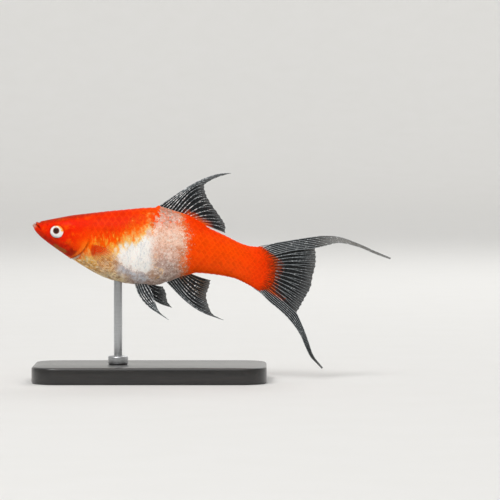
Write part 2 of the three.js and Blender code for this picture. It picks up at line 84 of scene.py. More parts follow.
# The pupil's middle, the oval of the iris, and how far that lies to the rear and below it
EYE = {"x": -27.83, "z": 45.2, "long": 2.17, "high": 1.9, "rear": 0.2, "low": 0.25}
NOSTRILS = [(-32.1, 47.0, 0.17), (-30.5, 46.9, 0.21)]
# Mouth: the cleft in the side view, the notch behind the upper lip, and the fold of the upper jaw
CLEFT = [(-34.5, 47.42), (-34.1, 47.18), (-33.6, 46.62), (-33.05, 45.95)]
LIP_NOTCH = {"x": -33.2, "z": 47.85, "reach": 0.38, "depth": 0.26}
JAW_FOLD = [(-33.2, 46.75), (-32.95, 46.2), (-32.45, 45.25)]
CHEEK_FOLD = [(-24.6, 46.4), (-23.4, 44.6), (-23.2, 42.6), (-24.2, 40.6), (-26.6, 39.7)]
CHIN_FOLD = [(-32.9, 44.6), (-30, 42.3), (-26.5, 39.7), (-23.5, 37.9)]
# The swelling that carries the pectoral fin, and the sheaths along the fins of the midline: first
# and last X, above or below
SHOULDER = {"x": -17.1, "z": 39.2, "long": 0.75, "high": 1.9, "height": 0.28}
SHEATHS = [(1.4, 16.6, 1), (4.6, 12.8, -1)]
SHEATH_HEIGHT = 0.42
MIDLINE = 41
AROUND = 152


def profile(points):
    """A smooth height over a distance through a few points, as a function of arrays."""
    places, values = np.array(points, float).T
    slopes = np.gradient(values, places)
    slopes[1:-1] = (values[2:] - values[:-2]) / (places[2:] - places[:-2])

    def height(x):
        x = np.asarray(x, float)
        i = np.clip(np.searchsorted(places, x, side="right") - 1, 0, len(places) - 2)
        width = places[i + 1] - places[i]
        t = np.clip((x - places[i]) / width, 0, 1)
        ease = t * t * (3 - 2 * t)
        leave = slopes[i] * t * (1 - t) ** 2 * width
        arrive = slopes[i + 1] * t * t * (t - 1) * width
        return values[i] * (1 - ease) + values[i + 1] * ease + leave + arrive

    return height


back_height = profile(BACK)
belly_height = profile(BELLY)
half_width = profile(HALF_WIDTH)
widest = profile(WIDEST)
square_above = profile(SQUARE_ABOVE)
square_below = profile(SQUARE_BELOW)
coat_depth = profile(COAT)
tail_edge = profile(TAIL_EDGE)
gill_edge = profile(GILL_EDGE)


def smooth(value, low, high):
    t = np.clip((value - low) / (high - low), 0, 1)
    return t * t * (3 - 2 * t)


def hump(distance, reach):
    return np.exp(-((distance / reach) ** 2))


def body_point(station, angle):
    """Places on the skin. station is X along the middle, angle runs from the back over +Y."""
    station, angle = np.broadcast_arrays(np.asarray(station, float), np.asarray(angle, float))
    lean = np.clip((station - STALK_LEAN) / (STALK_MIDDLE - STALK_LEAN), 0, 1)
    end = tail_edge(TAIL_EDGE_MIDDLE + TAIL_EDGE_HALF * np.cos(angle))
    x = np.where(station > STALK_LEAN, STALK_LEAN + lean * (end - STALK_LEAN), station)
    across, up = np.sin(angle), np.cos(angle)
    inset = coat_depth(x)
    top = back_height(x) - inset
    bottom = belly_height(x) + inset
    middle = bottom + widest(x) * (top - bottom)
    square = np.where(up > 0, square_above(x), square_below(x))
    reach = np.where(up > 0, top - middle, bottom - middle)
    width = (half_width(x) - inset) * (1 - STALK_THINNING * smooth(lean, 0.72, 1.0))
    y = width * np.abs(across) ** (2 / square)
    z = middle + reach * np.abs(up) ** (2 / square)
    bulge = hump(x - GILL_BULGE["x"], GILL_BULGE["reach_x"])
    bulge = bulge * hump(z - GILL_BULGE["z"], GILL_BULGE["reach_z"])
    y = y + GILL_BULGE["height"] * bulge * np.minimum(1, 3 * np.abs(across))
    return np.stack([x, np.sign(across) * y, z], -1)


def outward(grid):
    """Normals of a grid of places whose first axis runs to the tail and second round the body."""
    along = np.gradient(grid, axis=0)
    over = np.roll(grid, -1, axis=1) - np.roll(grid, 1, axis=1)
    normal = np.cross(along, over)
    length = np.linalg.norm(normal, axis=-1, keepdims=True)
    return normal / np.maximum(length, 1e-9)


def from_line(x, z, points):
    """Signed distance in the side view from a line of points, positive behind or above it, and
    the share of the way along it."""
    best = np.full(x.shape, 1e9)
    signed = np.zeros(x.shape)
    share = np.zeros(x.shape)
    corners = np.array(points, float)
    lengths = np.linalg.norm(np.diff(corners, axis=0), axis=1)
    run = np.concatenate([[0], np.cumsum(lengths)])
    for i, length in enumerate(lengths):
        a, b = corners[i], corners[i + 1]
        d = (b - a) / length
        t = np.clip((x - a[0]) * d[0] + (z - a[1]) * d[1], 0, length)
        dx, dz = x - a[0] - t * d[0], z - a[1] - t * d[1]
        away = np.hypot(dx, dz)
        near = away < best
        side = np.sign(d[0] * dz - d[1] * dx)
        best = np.where(near, away, best)
        signed = np.where(near, away * side, signed)
        share = np.where(near, (run[i] + t) / run[-1], share)
    return signed, share


def mouth(x, z):
    """The cleft with a lip on each side of it, the notch behind the upper lip and the jaw's fold,
    as the height of the skin and the painted shade in its creases."""
    away, share = from_line(x, z, CLEFT)
    fade = 1 - smooth(share, 0.88, 1.0) * smooth(np.abs(away), 0.0, 0.25)
    upper_lip, lower_lip = 0.16 * hump(away - 0.36, 0.2), 0.12 * hump(away + 0.32, 0.2)
    rise = (upper_lip + lower_lip) * (1 - smooth(share, 0.8, 1.0)) - 0.45 * hump(away, 0.12) * fade
    crease_shade = hump(away, 0.13) * fade
    notch = hump(np.hypot(x - LIP_NOTCH["x"], z - LIP_NOTCH["z"]), LIP_NOTCH["reach"])
    rise -= LIP_NOTCH["depth"] * notch
    crease_shade += 0.5 * notch
    away, share = from_line(x, z, JAW_FOLD)
    fold = hump(away, 0.13) * (1 - smooth(share, 0.8, 1.0) * 0.6)
    rise += 0.12 * hump(away + 0.22, 0.2) - 0.17 * fold
    crease_shade += 0.75 * fold
    return rise, crease_shade


def nostrils(x, z):
    """A pit in a low rim for each nostril, with painted shade in the pit."""
    rise, crease_shade = np.zeros(x.shape), np.zeros(x.shape)
    for place_x, place_z, radius in NOSTRILS:
        r = np.hypot(x - place_x, z - place_z)
        rise += 0.04 * hump(r - radius * 1.4, radius * 0.6) - 0.22 * hump(r, radius * 0.75)
        crease_shade += 0.7 * hump(r, radius * 0.7)
    return rise, crease_shade


def orbit(x, z):
    """A dish under the eye and a rim round it that is highest above, and painted shade in the
    groove round the eye.
    """
    up = z - EYE["z"]
    r = np.hypot(x - EYE["x"] - EYE["rear"], (up + EYE["low"]) * EYE["long"] / EYE["high"])
    rim = 0.07 + 0.07 * smooth(up, -1.0, 2.0)
    rise = rim * hump(r - 2.66, 0.38) - 0.5 * (1 - smooth(r, 1.35, 2.0)) - 0.07 * hump(r - 2.2, 0.14)
    return rise, 0.4 * hump(r - 2.18, 0.15)


def face_folds(x, z):
    """The long folds of the cheek and of the chin, which fade out at both ends, with painted shade
    along them.
    """
    away, share = from_line(x, z, CHEEK_FOLD)
    ends = np.sin(np.pi * np.clip(share, 0, 1)) ** 0.5
    rise = (0.05 * hump(away - 0.45, 0.4) - 0.1 * hump(away, 0.3)) * ends
    crease_shade = 0.18 * hump(away, 0.3) * ends
    away, share = from_line(x, z, CHIN_FOLD)
    fold = hump(away, 0.22) * np.sin(np.pi * share) ** 0.5
    return rise - 0.09 * fold, crease_shade + 0.22 * fold


def gill_cover(x, z):
    """The hind edge of the gill cover stands proud of the shoulder, most at the throat. Painted
    shade darkens the slot behind its lower part.
    """
    heights = np.linspace(35, 54, 400)
    slope = np.gradient(gill_edge(heights), heights)
    behind = (x - gill_edge(z)) / np.hypot(1, np.interp(z, heights, slope))
    open_edge = 1 - smooth(z, 39.8, GILL_TOP)
    flap = np.where(behind < 0, 0.2 * np.exp(behind / 1.5), 0)
    slot = np.where(behind >= 0, -0.14 * np.exp(-behind / 0.5), 0)
    # how strongly painted shade darkens the slot, fading out above the throat
    painted_edge_shade = 0.42 * (1 - smooth(z, 39.6, 42.4))
    crease_shade = np.where(behind >= -0.05, 0.95 * np.exp(-np.maximum(behind, 0) / 0.28), 0)
    return (flap + slot) * open_edge, crease_shade * open_edge * painted_edge_shade


def fin_roots(x, y, z):
    """The shoulder under the pectoral fin, the sheaths on the midline, and the small hump where
    the dorsal fin begins."""
    across = hump(x - SHOULDER["x"], SHOULDER["long"])
    rise = SHOULDER["height"] * across * hump(z - SHOULDER["z"], SHOULDER["high"])
    for first, last, above in SHEATHS:
        inside = smooth(x, first, first + 1.6) * (1 - smooth(x, last - 1.0, last + 1.2))
        rise += SHEATH_HEIGHT * hump(y, 0.55) * inside * (np.sign(z - MIDLINE) == above)
    return rise + 0.4 * hump(x - 2.5, 0.6) * hump(y, 0.4) * (z > MIDLINE)


def relief(grid):
    """How far the skin stands out or in from the plain body, and how much painted shade darkens
    its creases.
    """
    x, y, z = grid[..., 0], np.abs(grid[..., 1]), grid[..., 2]
    forms = [form(x, z) for form in (mouth, nostrils, orbit, face_folds, gill_cover)]
    rise = sum(height for height, _ in forms) + fin_roots(x, y, z)
    return rise, np.clip(sum(crease_shade for _, crease_shade in forms), 0, 1)


def tail_ridges(station, angle):
    """The roots of the tail's rays show as ridges that run out to the end of the stalk."""
    ridge = np.cos(2 * np.pi * RAY_RIDGES * (0.5 - 0.5 * np.cos(angle)))
    inside = smooth(station, 34.2, 36.6) * (1 - smooth(station, 37.0, STALK_MIDDLE))
    return RAY_RIDGE_HEIGHT * ridge * inside


def stations():
    """Places of the rings: closest at the mouth, close along the head, wider over the trunk."""
    places = [SNOUT]
    spans = [-35.25, -34.9, -32.2, -31, -17.4, -15.8, 26, STALK_MIDDLE]
    steps = [0.03, 0.065, 0.075, 0.13, 0.15, 0.42, 0.45, 0.28]
    while places[-1] < STALK_MIDDLE:
        places.append(places[-1] + np.interp(places[-1], spans, steps))
    return np.array([*places[:-1], STALK_MIDDLE])


def select_only(piece):
    """Leaves one object selected and active."""
    bpy.ops.object.select_all(action="DESELECT")
    piece.select_set(True)
    bpy.context.view_layer.objects.active = piece


def wrap_grid(name, places):
    """A grid primitive whose corners are laid on a table of places."""
    rows, columns = places.shape[:2]
    bpy.ops.object.select_all(action="DESELECT")
    bpy.ops.mesh.primitive_grid_add(x_subdivisions=columns - 1, y_subdivisions=rows - 1)
    piece = bpy.context.object
    piece.name = name
    piece.data.name = name
    piece.data.vertices.foreach_set("co", (places.reshape(-1, 3) * MM).ravel())
    piece.data.update()
    return piece


def face_outwards(piece, merged=0.0):
    """Turns all faces outwards, once the corners that lie closer than merged are one."""
    select_only(piece)
    bpy.ops.object.mode_set(mode="EDIT")
    bpy.ops.mesh.select_all(action="SELECT")
    if merged:
        bpy.ops.mesh.remove_doubles(threshold=merged * MM)
    bpy.ops.mesh.normals_make_consistent(inside=False)
    bpy.ops.object.mode_set(mode="OBJECT")


def point_values(piece, name, values, kind="FLOAT"):
    """Keeps a value for each corner of a mesh, which its material reads by name."""
    field = "vector" if kind == "FLOAT_VECTOR" else "value"
    attribute = piece.data.attributes.new(name, kind, "POINT")
    attribute.data.foreach_set(field, np.asarray(values, np.float32).ravel())


ring_places = stations()
ring_angles = np.linspace(0, 2 * np.pi, AROUND + 1)
skin_grid = body_point(ring_places[:, None], ring_angles[None, :-1])
skin_rise, skin_crease_shade = relief(skin_grid)
skin_rise += tail_ridges(ring_places[:, None], ring_angles[None, :-1])
skin_grid = skin_grid + outward(skin_grid) * skin_rise[..., None]
# the snout closes in one point, and both sides of the tail edge meet on the midline
skin_grid[0] = skin_grid[0].mean(0)
skin_grid[-1, :, 1] = 0
skin_grid = np.concatenate([skin_grid, skin_grid[:, :1]], 1)
skin_crease_shade = np.concatenate([skin_crease_shade, skin_crease_shade[:, :1]], 1)
skin = wrap_grid("fish_skin", skin_grid)
# each corner keeps how strongly painted shade darkens it in a crease
point_values(skin, "crease_shade", skin_crease_shade)
face_outwards(skin, merged=0.004)
bpy.ops.object.shade_smooth()


def colour(red, green, blue):
    """A colour that is named by its three display values, 0 to 255, as the shader takes it."""
    shares = [value / 255 for value in (red, green, blue)]
    return (*[c / 12.92 if c <= 0.04045 else ((c + 0.055) / 1.055) ** 2.4 for c in shares], 1.0)


class Graph:
    """Adds nodes to one node tree. Each call gives the socket that carries its result."""

    def __init__(self, tree):
        self.tree = tree

    def node(self, kind, inputs, output=0, **settings):
        node = self.tree.nodes.new("ShaderNode" + kind)
        for name, value in settings.items():
            setattr(node, name, value)
        for key, value in inputs.items():
            self.feed(node.inputs[key], value)
        return node.outputs[output]

    def feed(self, socket, value):
        """Feeds a socket by a link or by a plain value."""
        if isinstance(value, bpy.types.NodeSocket):
            self.tree.links.new(value, socket)
        else:
            socket.default_value = value

    def feed_named(self, node, values):
        """Feeds a node's sockets, which are named with _ for each space."""
        for name, value in values.items():
            self.feed(node.inputs[name.replace("_", " ")], value)

    def group(self, tree, **inputs):
        node = self.tree.nodes.new("ShaderNodeGroup")
        node.node_tree = tree
        self.feed_named(node, inputs)
        return node.outputs

    def maths(self, operation, *values):
        return self.node("Math", dict(enumerate(values)), operation=operation)

    def add(self, *values):
        total = values[0]
        for value in values[1:]:
            total = self.maths("ADD", total, value)
        return total

    def less(self, a, b):
        return self.maths("SUBTRACT", a, b)

    def times(self, *values):
        total = values[0]
        for value in values[1:]:
            total = self.maths("MULTIPLY", total, value)
        return total

    def size(self, value):
        return self.maths("ABSOLUTE", value)

    def smooth(self, value, low, high, at_low=0.0, at_high=1.0):
        inputs = {"Value": value, 1: low, 2: high, 3: at_low, 4: at_high}
        return self.node("MapRange", inputs, interpolation_type="SMOOTHSTEP")

    def band(self, value, outside, inside, still_inside, outside_again):
        """A mask that a value enters, stays in and leaves."""
        entered = self.smooth(value, outside, inside)
        return self.times(entered, self.smooth(value, outside_again, still_inside))

    def mix(self, share, first, second, blend="MIX"):
        inputs = {0: share, 6: first, 7: second}
        return self.node("Mix", inputs, output=2, data_type="RGBA", blend_type=blend)

    def paint(self, under, shade, *masks):
        """Lays a colour over another where all the masks meet."""
        return self.mix(self.times(*masks), under, shade)

    def stain(self, under, shade, *masks):
        """Darkens a colour by another where all the masks meet."""
        return self.mix(self.times(*masks), under, self.mix(1.0, under, shade, "MULTIPLY"))

    def lighten(self, under, light):
        """Makes a colour lighter or darker by a factor."""
        grey = self.node("CombineColor", {0: light, 1: light, 2: light})
        return self.mix(1.0, under, grey, "MULTIPLY")

    def side_view(self, where):
        """A place in millimetres, with its X and its Z."""
        place = self.node("VectorMath", {0: where, "Scale": 1000.0}, operation="SCALE")
        axes = self.node("SeparateXYZ", {0: place}).node.outputs
        return place, axes["X"], axes["Z"]

    def from_middle(self, x, z, middle, reach, slope=0.0):
        """How far a place lies from the middle of an oval, squared, where 1 is its edge. Slope is
        how much the oval drops for each millimetre to the rear."""
        off_x = self.less(x, middle[0])
        off_z = self.less(self.add(z, self.times(off_x, slope)), middle[1])
        along = self.maths("DIVIDE", off_x, reach[0])
        up = self.maths("DIVIDE", off_z, reach[1])
        return self.add(self.times(along, along), self.times(up, up))

    def noise(self, place, size, detail=2.0, roughness=0.5):
        inputs = {"Vector": place, "Scale": 1 / size, "Detail": detail, "Roughness": roughness}
        return self.node("TexNoise", inputs)

    def sway(self, place, size, detail=2.0, roughness=0.5):
        """A noise that swings about nought."""
        return self.less(self.noise(place, size, detail, roughness), 0.5)

    def streaks(self, across, narrow, along, short, roughness=0.6):
        """A noise that is drawn out along the rays of a fin."""
        place = self.node("CombineXYZ", {0: self.times(across, narrow), 1: self.times(along, short)})
        return self.noise(place, 1.0, 2.0, roughness)

    def cells(self, place, size, output="Color", **settings):
        inputs = {"Vector": place, "Scale": 1 / size}
        return self.node("TexVoronoi", inputs, output=output, **settings)

    def bump(self, height, strength, depth):
        return self.node("Bump", {"Height": height, "Strength": strength, "Distance": depth * MM})

    def curve(self, value, points):
        """A value read from a smooth line through a few points."""
        places, heights = np.array(points, float).T
        low, high = places.min(), places.max()
        least, most = heights.min(), heights.max()
        share = self.maths("DIVIDE", self.less(value, low), high - low)
        result = self.node("FloatCurve", {"Value": share})
        mapping = result.node.mapping
        line = mapping.curves[0]
        spots = [((p - low) / (high - low), (h - least) / (most - least)) for p, h in points]
        line.points[0].location = spots[0]
        line.points[1].location = spots[-1]
        for spot in spots[1:-1]:
            line.points.new(*spot)
        mapping.update()
        return self.add(self.times(result, most - least), least)

    def ramp(self, value, stops):
        """A colour read from named stops over a value."""
        low, high = stops[0][0], stops[-1][0]
        share = self.maths("DIVIDE", self.less(value, low), high - low)
        result = self.node("ValToRGB", {"Fac": share})
        elements = result.node.color_ramp.elements
        elements[0].position, elements[0].color = 0.0, stops[0][1]
        elements[1].position, elements[1].color = 1.0, stops[-1][1]
        for place, shade in stops[1:-1]:
            element = elements.new((place - low) / (high - low))
            element.color = shade
        return result


def node_group(name, inputs, outputs):
    """A shader node group with named sockets, and the graph and sockets to fill it in."""
    tree = bpy.data.node_groups.new(name, "ShaderNodeTree")
    for label, kind in inputs:
        tree.interface.new_socket(label, in_out="INPUT", socket_type=kind)
    for label, kind in outputs:
        tree.interface.new_socket(label, in_out="OUTPUT", socket_type=kind)
    entry = tree.nodes.new("NodeGroupInput")
    leave = tree.nodes.new("NodeGroupOutput")
    return Graph(tree), entry.outputs, leave.inputs


def new_look(name):
    """A new material, with its graph and the place on the object that it reads."""
    look = bpy.data.materials.new(name)
    look.use_nodes = True
    g = Graph(look.node_tree)
    return look, g, g.node("TexCoord", {}, output="Object")


def finish_look(look, g, **values):
    """Feeds the material's Principled shader."""
    g.feed_named(look.node_tree.nodes["Principled BSDF"], values)


class Paint:
    """The colours that the fish is painted in."""

    head = colour(244, 36, 2)
    back = colour(244, 50, 2)
    flank = colour(255, 88, 3)
    rear = colour(255, 78, 3)
    rear_top = colour(255, 60, 2)
    rear_low = colour(255, 82, 10)
    stalk = colour(252, 62, 3)
    warm_shadow = colour(250, 206, 180)
    crown_dots = colour(122, 42, 14)
    stalk_dots = colour(162, 52, 10)
    ray_roots = colour(96, 44, 20)
    cheek = colour(172, 30, 8)
    throat = colour(146, 30, 8)
    chin = colour(150, 112, 52)
    # painted highlight on the rim of the gill cover
    gill_rim_highlight = colour(255, 122, 30)
    # painted shadow in the slot behind the gill cover
    gill_slot_shadow = colour(186, 20, 2)
    gill_hem = colour(214, 202, 180)
    lips = colour(186, 160, 146)
    fin_base = colour(208, 28, 2)
    # painted shade for the creases of the skin
    crease_shade = colour(96, 14, 4)
    belly = colour(255, 253, 248)
    belly_streaks = colour(214, 218, 222)
    breast_low = colour(236, 212, 164)
    breast_high = colour(240, 168, 66)
    breast_gold = colour(248, 206, 124)
    breast_streaks = colour(252, 238, 206)
    breast_bright = colour(255, 234, 186)
    breast_dark = colour(172, 114, 44)
    silver_band = colour(202, 208, 218)
    gravid = colour(184, 134, 92)
    gravid_arc = colour(244, 200, 132)
    hind_tan = colour(206, 124, 76)
    gold_line = colour(240, 170, 84)
    patches = colour(168, 138, 122)
    silver = colour(255, 250, 244)
    sheen = colour(255, 244, 236)
    glints = colour(255, 253, 250)
    pale_shadow = colour(200, 176, 160)
    saddle_specks = colour(240, 100, 28)
    between = colour(226, 122, 58)
    orange_edge = colour(255, 124, 6)
    yellow_edge = colour(255, 208, 118)
    golden = colour(255, 192, 66)
    # painted pale glints strewn behind the saddle
    strewn_glints = colour(255, 196, 160)


# The pale parts from the belly up to the back, over Z
SADDLE_SHADES = [
    (28.0, colour(178, 152, 138)), (31.5, colour(188, 160, 148)), (35.0, colour(194, 162, 150)),
    (38.5, colour(228, 178, 156)), (42.5, colour(250, 204, 178)), (46.0, colour(238, 180, 152)),
    (48.0, colour(206, 144, 122)), (52.0, colour(196, 144, 122)),
]
CROWN = [(-36.0, 46.3), (-33.0, 47.2), (-27.6, 48.1), (-21.0, 49.3), (-10.0, 50.9), (4.0, 51.8)]
GILL_HEM = [(x, z) for z, x in GILL_EDGE[:6]]
# Borders of the pale parts: the upper one Z over X, the hind one X over Z, and the lower one of
# the white belly Z over X
UPPER_BORDER = [
    (-30.0, 35.0), (-22.5, 36.7), (-17.1, 37.6), (-13.0, 38.5), (-10.5, 39.6), (-8.5, 41.0),
    (-5.0, 42.7), (-2.4, 43.9), (-1.0, 45.4), (1.2, 46.8), (2.3, 49.2), (3.4, 54.0),
]
HIND_BORDER = [
    (28.0, 10.0), (32.0, 10.4), (35.0, 10.5), (38.5, 10.8), (42.0, 11.4), (45.3, 10.8),
    (47.0, 9.8), (50.0, 9.5), (54.0, 9.2),
]
WHITE_BORDER = [(-14.0, 37.0), (-9.0, 35.2), (-5.0, 33.8), (-2.0, 32.6), (2.0, 33.6)]


class SideView:
    """What the markings are drawn from: true places in the side view, places that wander so that
    borders are uneven, noises that swing about nought, flecks, and the pale parts' borders."""

    def __init__(self, g, where, shift):
        self.place, self.true_x, self.true_z = g.side_view(where)
        self.close = g.sway(self.place, 1.1, 3.0, 0.6)
        self.x = g.add(self.true_x, g.times(g.sway(self.place, 4.0, 3.0), 2.4), g.times(self.close, 1.8))
        self.z = g.add(self.true_z, g.times(g.sway(self.place, 2.2, 3.0, 0.6), 4.2))

        self.cells = g.less(g.cells(self.place, 0.26), 0.5)
        fine = g.sway(self.place, 0.7, 2.0, 0.6)
        finest = g.sway(self.place, 0.3, 1.0)
        self.speck = g.add(g.times(self.cells, 0.3), g.times(fine, 0.6), g.times(finest, 0.7))
        self.stipple = g.smooth(g.noise(self.place, 0.3, 1.0), 0.4, 0.6)
        self.grain = g.sway(self.place, 0.26, 2.0, 0.7)
        dots = g.smooth(g.cells(self.place, 0.55, "Distance"), 0.34, 0.14)
        self.glints = g.times(dots, g.smooth(g.cells(self.place, 0.55), 0.56, 0.7))
        upright = g.node("Mapping", {"Vector": self.place, "Scale": (1.0, 1.0, 0.3)})
        self.feather = g.sway(upright, 1.0, 2.0, 0.6)
        self.hair = g.sway(upright, 0.5, 2.0, 0.6)
        turned_cells = {"Vector": self.place, "Rotation": (0.0, 0.6, 0.0), "Scale": (0.62, 1.0, 1.0)}
        mosaic = g.cells(g.node("Mapping", turned_cells), 0.6, feature="SMOOTH_F1")
        mosaic.node.inputs["Smoothness"].default_value = 0.35
        self.mosaic = g.less(mosaic, 0.5)

        below = g.less(g.less(g.curve(self.x, UPPER_BORDER), self.z), shift)
        below = g.add(below, g.times(self.speck, 2.6), g.times(self.feather, 6.0))
        self.below = g.add(below, g.times(self.close, g.smooth(self.z, 45.5, 48.0), 12.0))
        before = g.less(g.less(g.curve(self.z, HIND_BORDER), self.x), g.times(shift, 0.4))
        self.before = g.add(before, g.times(self.speck, 5.0))
        self.pale = g.times(g.smooth(self.below, -0.5, 0.6), g.smooth(self.before, -1.3, 1.5))


def warm_parts(g, f):
    """A red head and back over an orange flank, with soft blotches of both."""
    back = g.mix(g.smooth(g.less(f.z, g.times(f.x, 0.08)), 41.0, 48.5), Paint.flank, Paint.back)
    to_rear = g.add(f.x, g.times(g.less(46.0, f.z), 0.35))
    fore = g.mix(g.smooth(to_rear, -25.0, -14.5), Paint.head, back)
    fore = g.paint(fore, Paint.flank, g.smooth(f.x, -8.0, 1.0), 0.6)
    low = g.smooth(g.less(f.z, g.times(f.x, 0.05)), 31.0, 37.5)
    to_top = g.add(f.z, g.times(g.less(f.x, 30.0), 0.25))
    hind = g.mix(g.smooth(to_top, 38.5, 44.0), g.mix(low, Paint.rear_low, Paint.rear), Paint.rear_top)
    hind = g.mix(g.smooth(f.x, 24.0, 35.0), hind, Paint.stalk)
    warm = g.mix(g.smooth(f.x, 4.0, 14.0), fore, hind)
    moved = g.node("Mapping", {"Vector": f.place, "Location": (31.0, 0.0, 7.0)})
    blotch = g.noise(moved, 2.6, 4.0, 0.65)
    on_head = g.smooth(f.true_x, -15.0, -21.0)
    warm = g.paint(warm, Paint.flank, g.smooth(blotch, 0.48, 0.68), on_head, 0.7)
    return g.stain(warm, Paint.warm_shadow, g.smooth(blotch, 0.5, 0.3), 0.4)


def dark_dots(g, f, warm):
    """Dark dots along the top of the head and snout, and brown ones that close up at the end of
    the stalk and run into streaks at the roots of the rays."""
    crown = g.smooth(g.less(f.true_z, g.curve(f.true_x, CROWN)), -0.9, 0.7)
    crown = g.times(crown, g.smooth(f.true_x, -8.0, -20.0))
    warm = g.paint(warm, Paint.crown_dots, crown, g.add(0.28, g.times(f.stipple, 0.55)))
    dots = g.smooth(g.noise(f.place, 0.4, 1.0), 0.44, 0.6)
    warm = g.paint(warm, Paint.stalk_dots, dots, g.smooth(f.true_x, 31.5, 37.5), 0.5)
    from_root = g.less(f.true_x, 27.0)
    turn = g.maths("ARCTAN2", g.less(f.true_z, 33.6), from_root)
    streaks = g.smooth(g.streaks(turn, 30.0, from_root, 0.5), 0.36, 0.56)
    to_edge = g.smooth(g.less(g.curve(f.true_z, TAIL_EDGE), f.true_x), 3.4, 0.2)
    return g.paint(warm, Paint.ray_roots, streaks, to_edge, g.smooth(f.true_x, 29.5, 32.0), 0.85)


def under_head(g, f, warm):
    """A darker, browner red low on the cheek and at the throat, and olive under the chin."""
    height = g.add(f.true_z, g.times(f.true_x, 0.5), g.times(f.close, 2.5))
    cheek = g.times(g.smooth(height, 30.4, 26.6), g.smooth(f.true_x, -19.5, -22.0))
    warm = g.paint(warm, Paint.cheek, cheek, g.add(0.6, g.times(f.stipple, 0.3)))
    from_throat = g.from_middle(f.x, f.z, (-23.0, 38.5), (2.1, 0.9), 0.4)
    warm = g.paint(warm, Paint.throat, g.smooth(from_throat, 1.4, 0.3), 0.6)
    from_chin = g.from_middle(f.x, f.z, (-26.6, 39.6), (2.3, 0.9), 0.3)
    return g.paint(warm, Paint.chin, g.smooth(from_chin, 1.3, 0.3), 0.62)


def gills_and_lips(g, f, warm):
    """The gill cover's rim has a painted light-orange highlight with painted deep red shadow
    in the slot behind it, and the lips are grey.
    """
    behind = g.less(f.true_x, g.curve(f.true_z, GILL_EDGE))
    low = g.band(f.true_z, 36.6, 38.0, 41.0, 43.0)
    # painted highlight just before the gill cover's edge
    warm = g.paint(warm, Paint.gill_rim_highlight, g.band(behind, -1.9, -1.1, -0.4, -0.1), low, 0.55)
    # painted shadow just behind the gill cover's edge
    warm = g.paint(warm, Paint.gill_slot_shadow, g.band(behind, -0.2, 0.0, 0.3, 0.8), low, 0.7)
    in_front = g.smooth(g.add(f.true_x, f.close), -33.7, -34.7)
    above = g.smooth(g.add(f.true_z, f.close), 45.7, 46.5)
    return g.paint(warm, Paint.lips, in_front, above, 0.8)


def belly_and_breast(g, f):
    """The pale saddle, the white belly with upright silver streaks, the golden breast in a mosaic
    of light and dark, and the grey-blue band under the white."""
    over_border = g.add(g.less(f.z, g.curve(f.x, WHITE_BORDER)), g.times(f.speck, 1.6))
    f.belly = g.times(g.smooth(over_border, -0.8, 0.9), g.smooth(f.x, 2.6, -0.8))
    to_rear = g.smooth(g.add(f.x, g.times(f.speck, 3.0)), -13.5, -8.5)
    f.belly = g.times(f.belly, to_rear, g.smooth(f.z, 44.4, 42.4))
    white = g.paint(Paint.belly, Paint.belly_streaks, g.smooth(f.hair, 0.0, 0.14), 0.7)
    tone = g.mix(f.belly, g.ramp(f.z, SADDLE_SHADES), white)

    breast = g.mix(g.smooth(f.z, 31.0, 36.0), Paint.breast_low, Paint.breast_high)
    flecks = g.smooth(g.add(f.speck, g.times(f.close, 0.5)), 0.02, 0.2)
    breast = g.paint(breast, Paint.breast_gold, flecks, 0.65)
    breast = g.paint(breast, Paint.breast_streaks, g.smooth(f.hair, 0.04, 0.16), 0.6)
    breast = g.paint(breast, Paint.breast_bright, g.smooth(f.mosaic, 0.04, 0.2), 0.75)
    breast = g.paint(breast, Paint.breast_dark, g.smooth(f.mosaic, -0.03, -0.2), 0.6)
    to_rear = g.add(f.x, g.times(g.less(f.z, 34.0), 0.5), g.times(f.speck, 2.5))
    f.front = g.smooth(to_rear, -6.6, -11.0)
    tone = g.mix(f.front, tone, breast)

    under_white = g.band(over_border, -3.4, -1.6, -0.9, 0.2)
    return g.paint(tone, Paint.silver_band, under_white, g.band(f.x, -11.5, -8.0, -1.5, 1.0), 0.88)


def low_saddle(g, f, tone):
    """The brown gravid spot with its golden arc, tan at the hind border, gold down the hind
    border of the white, and greyer, browner patches."""
    from_spot = g.from_middle(f.x, f.z, (0.9, 32.4), (2.3, 1.5))
    tone = g.paint(tone, Paint.gravid, g.smooth(from_spot, 1.5, 0.2), 0.62)
    arc = g.times(g.smooth(g.size(g.less(from_spot, 1.5)), 0.55, 0.1), g.smooth(f.x, 0.9, 2.05))
    tone = g.paint(tone, Paint.gravid_arc, arc, 0.65)
    to_rear = g.smooth(g.add(f.x, g.times(f.speck, 5.0)), 6.0, 10.0)
    tone = g.paint(tone, Paint.hind_tan, to_rear, g.smooth(f.z, 42.5, 39.5), 0.8)
    line = g.times(g.band(f.x, 0.0, 1.2, 1.8, 3.0), g.band(f.z, 33.0, 34.5, 37.5, 40.0))
    tone = g.paint(tone, Paint.gold_line, line, g.smooth(f.speck, -0.04, 0.1), 0.6)
    patches = g.smooth(g.noise(f.place, 1.7, 3.0, 0.6), 0.48, 0.62)
    low = g.times(g.less(1.0, f.belly), g.smooth(f.z, 42.0, 35.0))
    return g.paint(tone, Paint.patches, patches, low, 0.42)


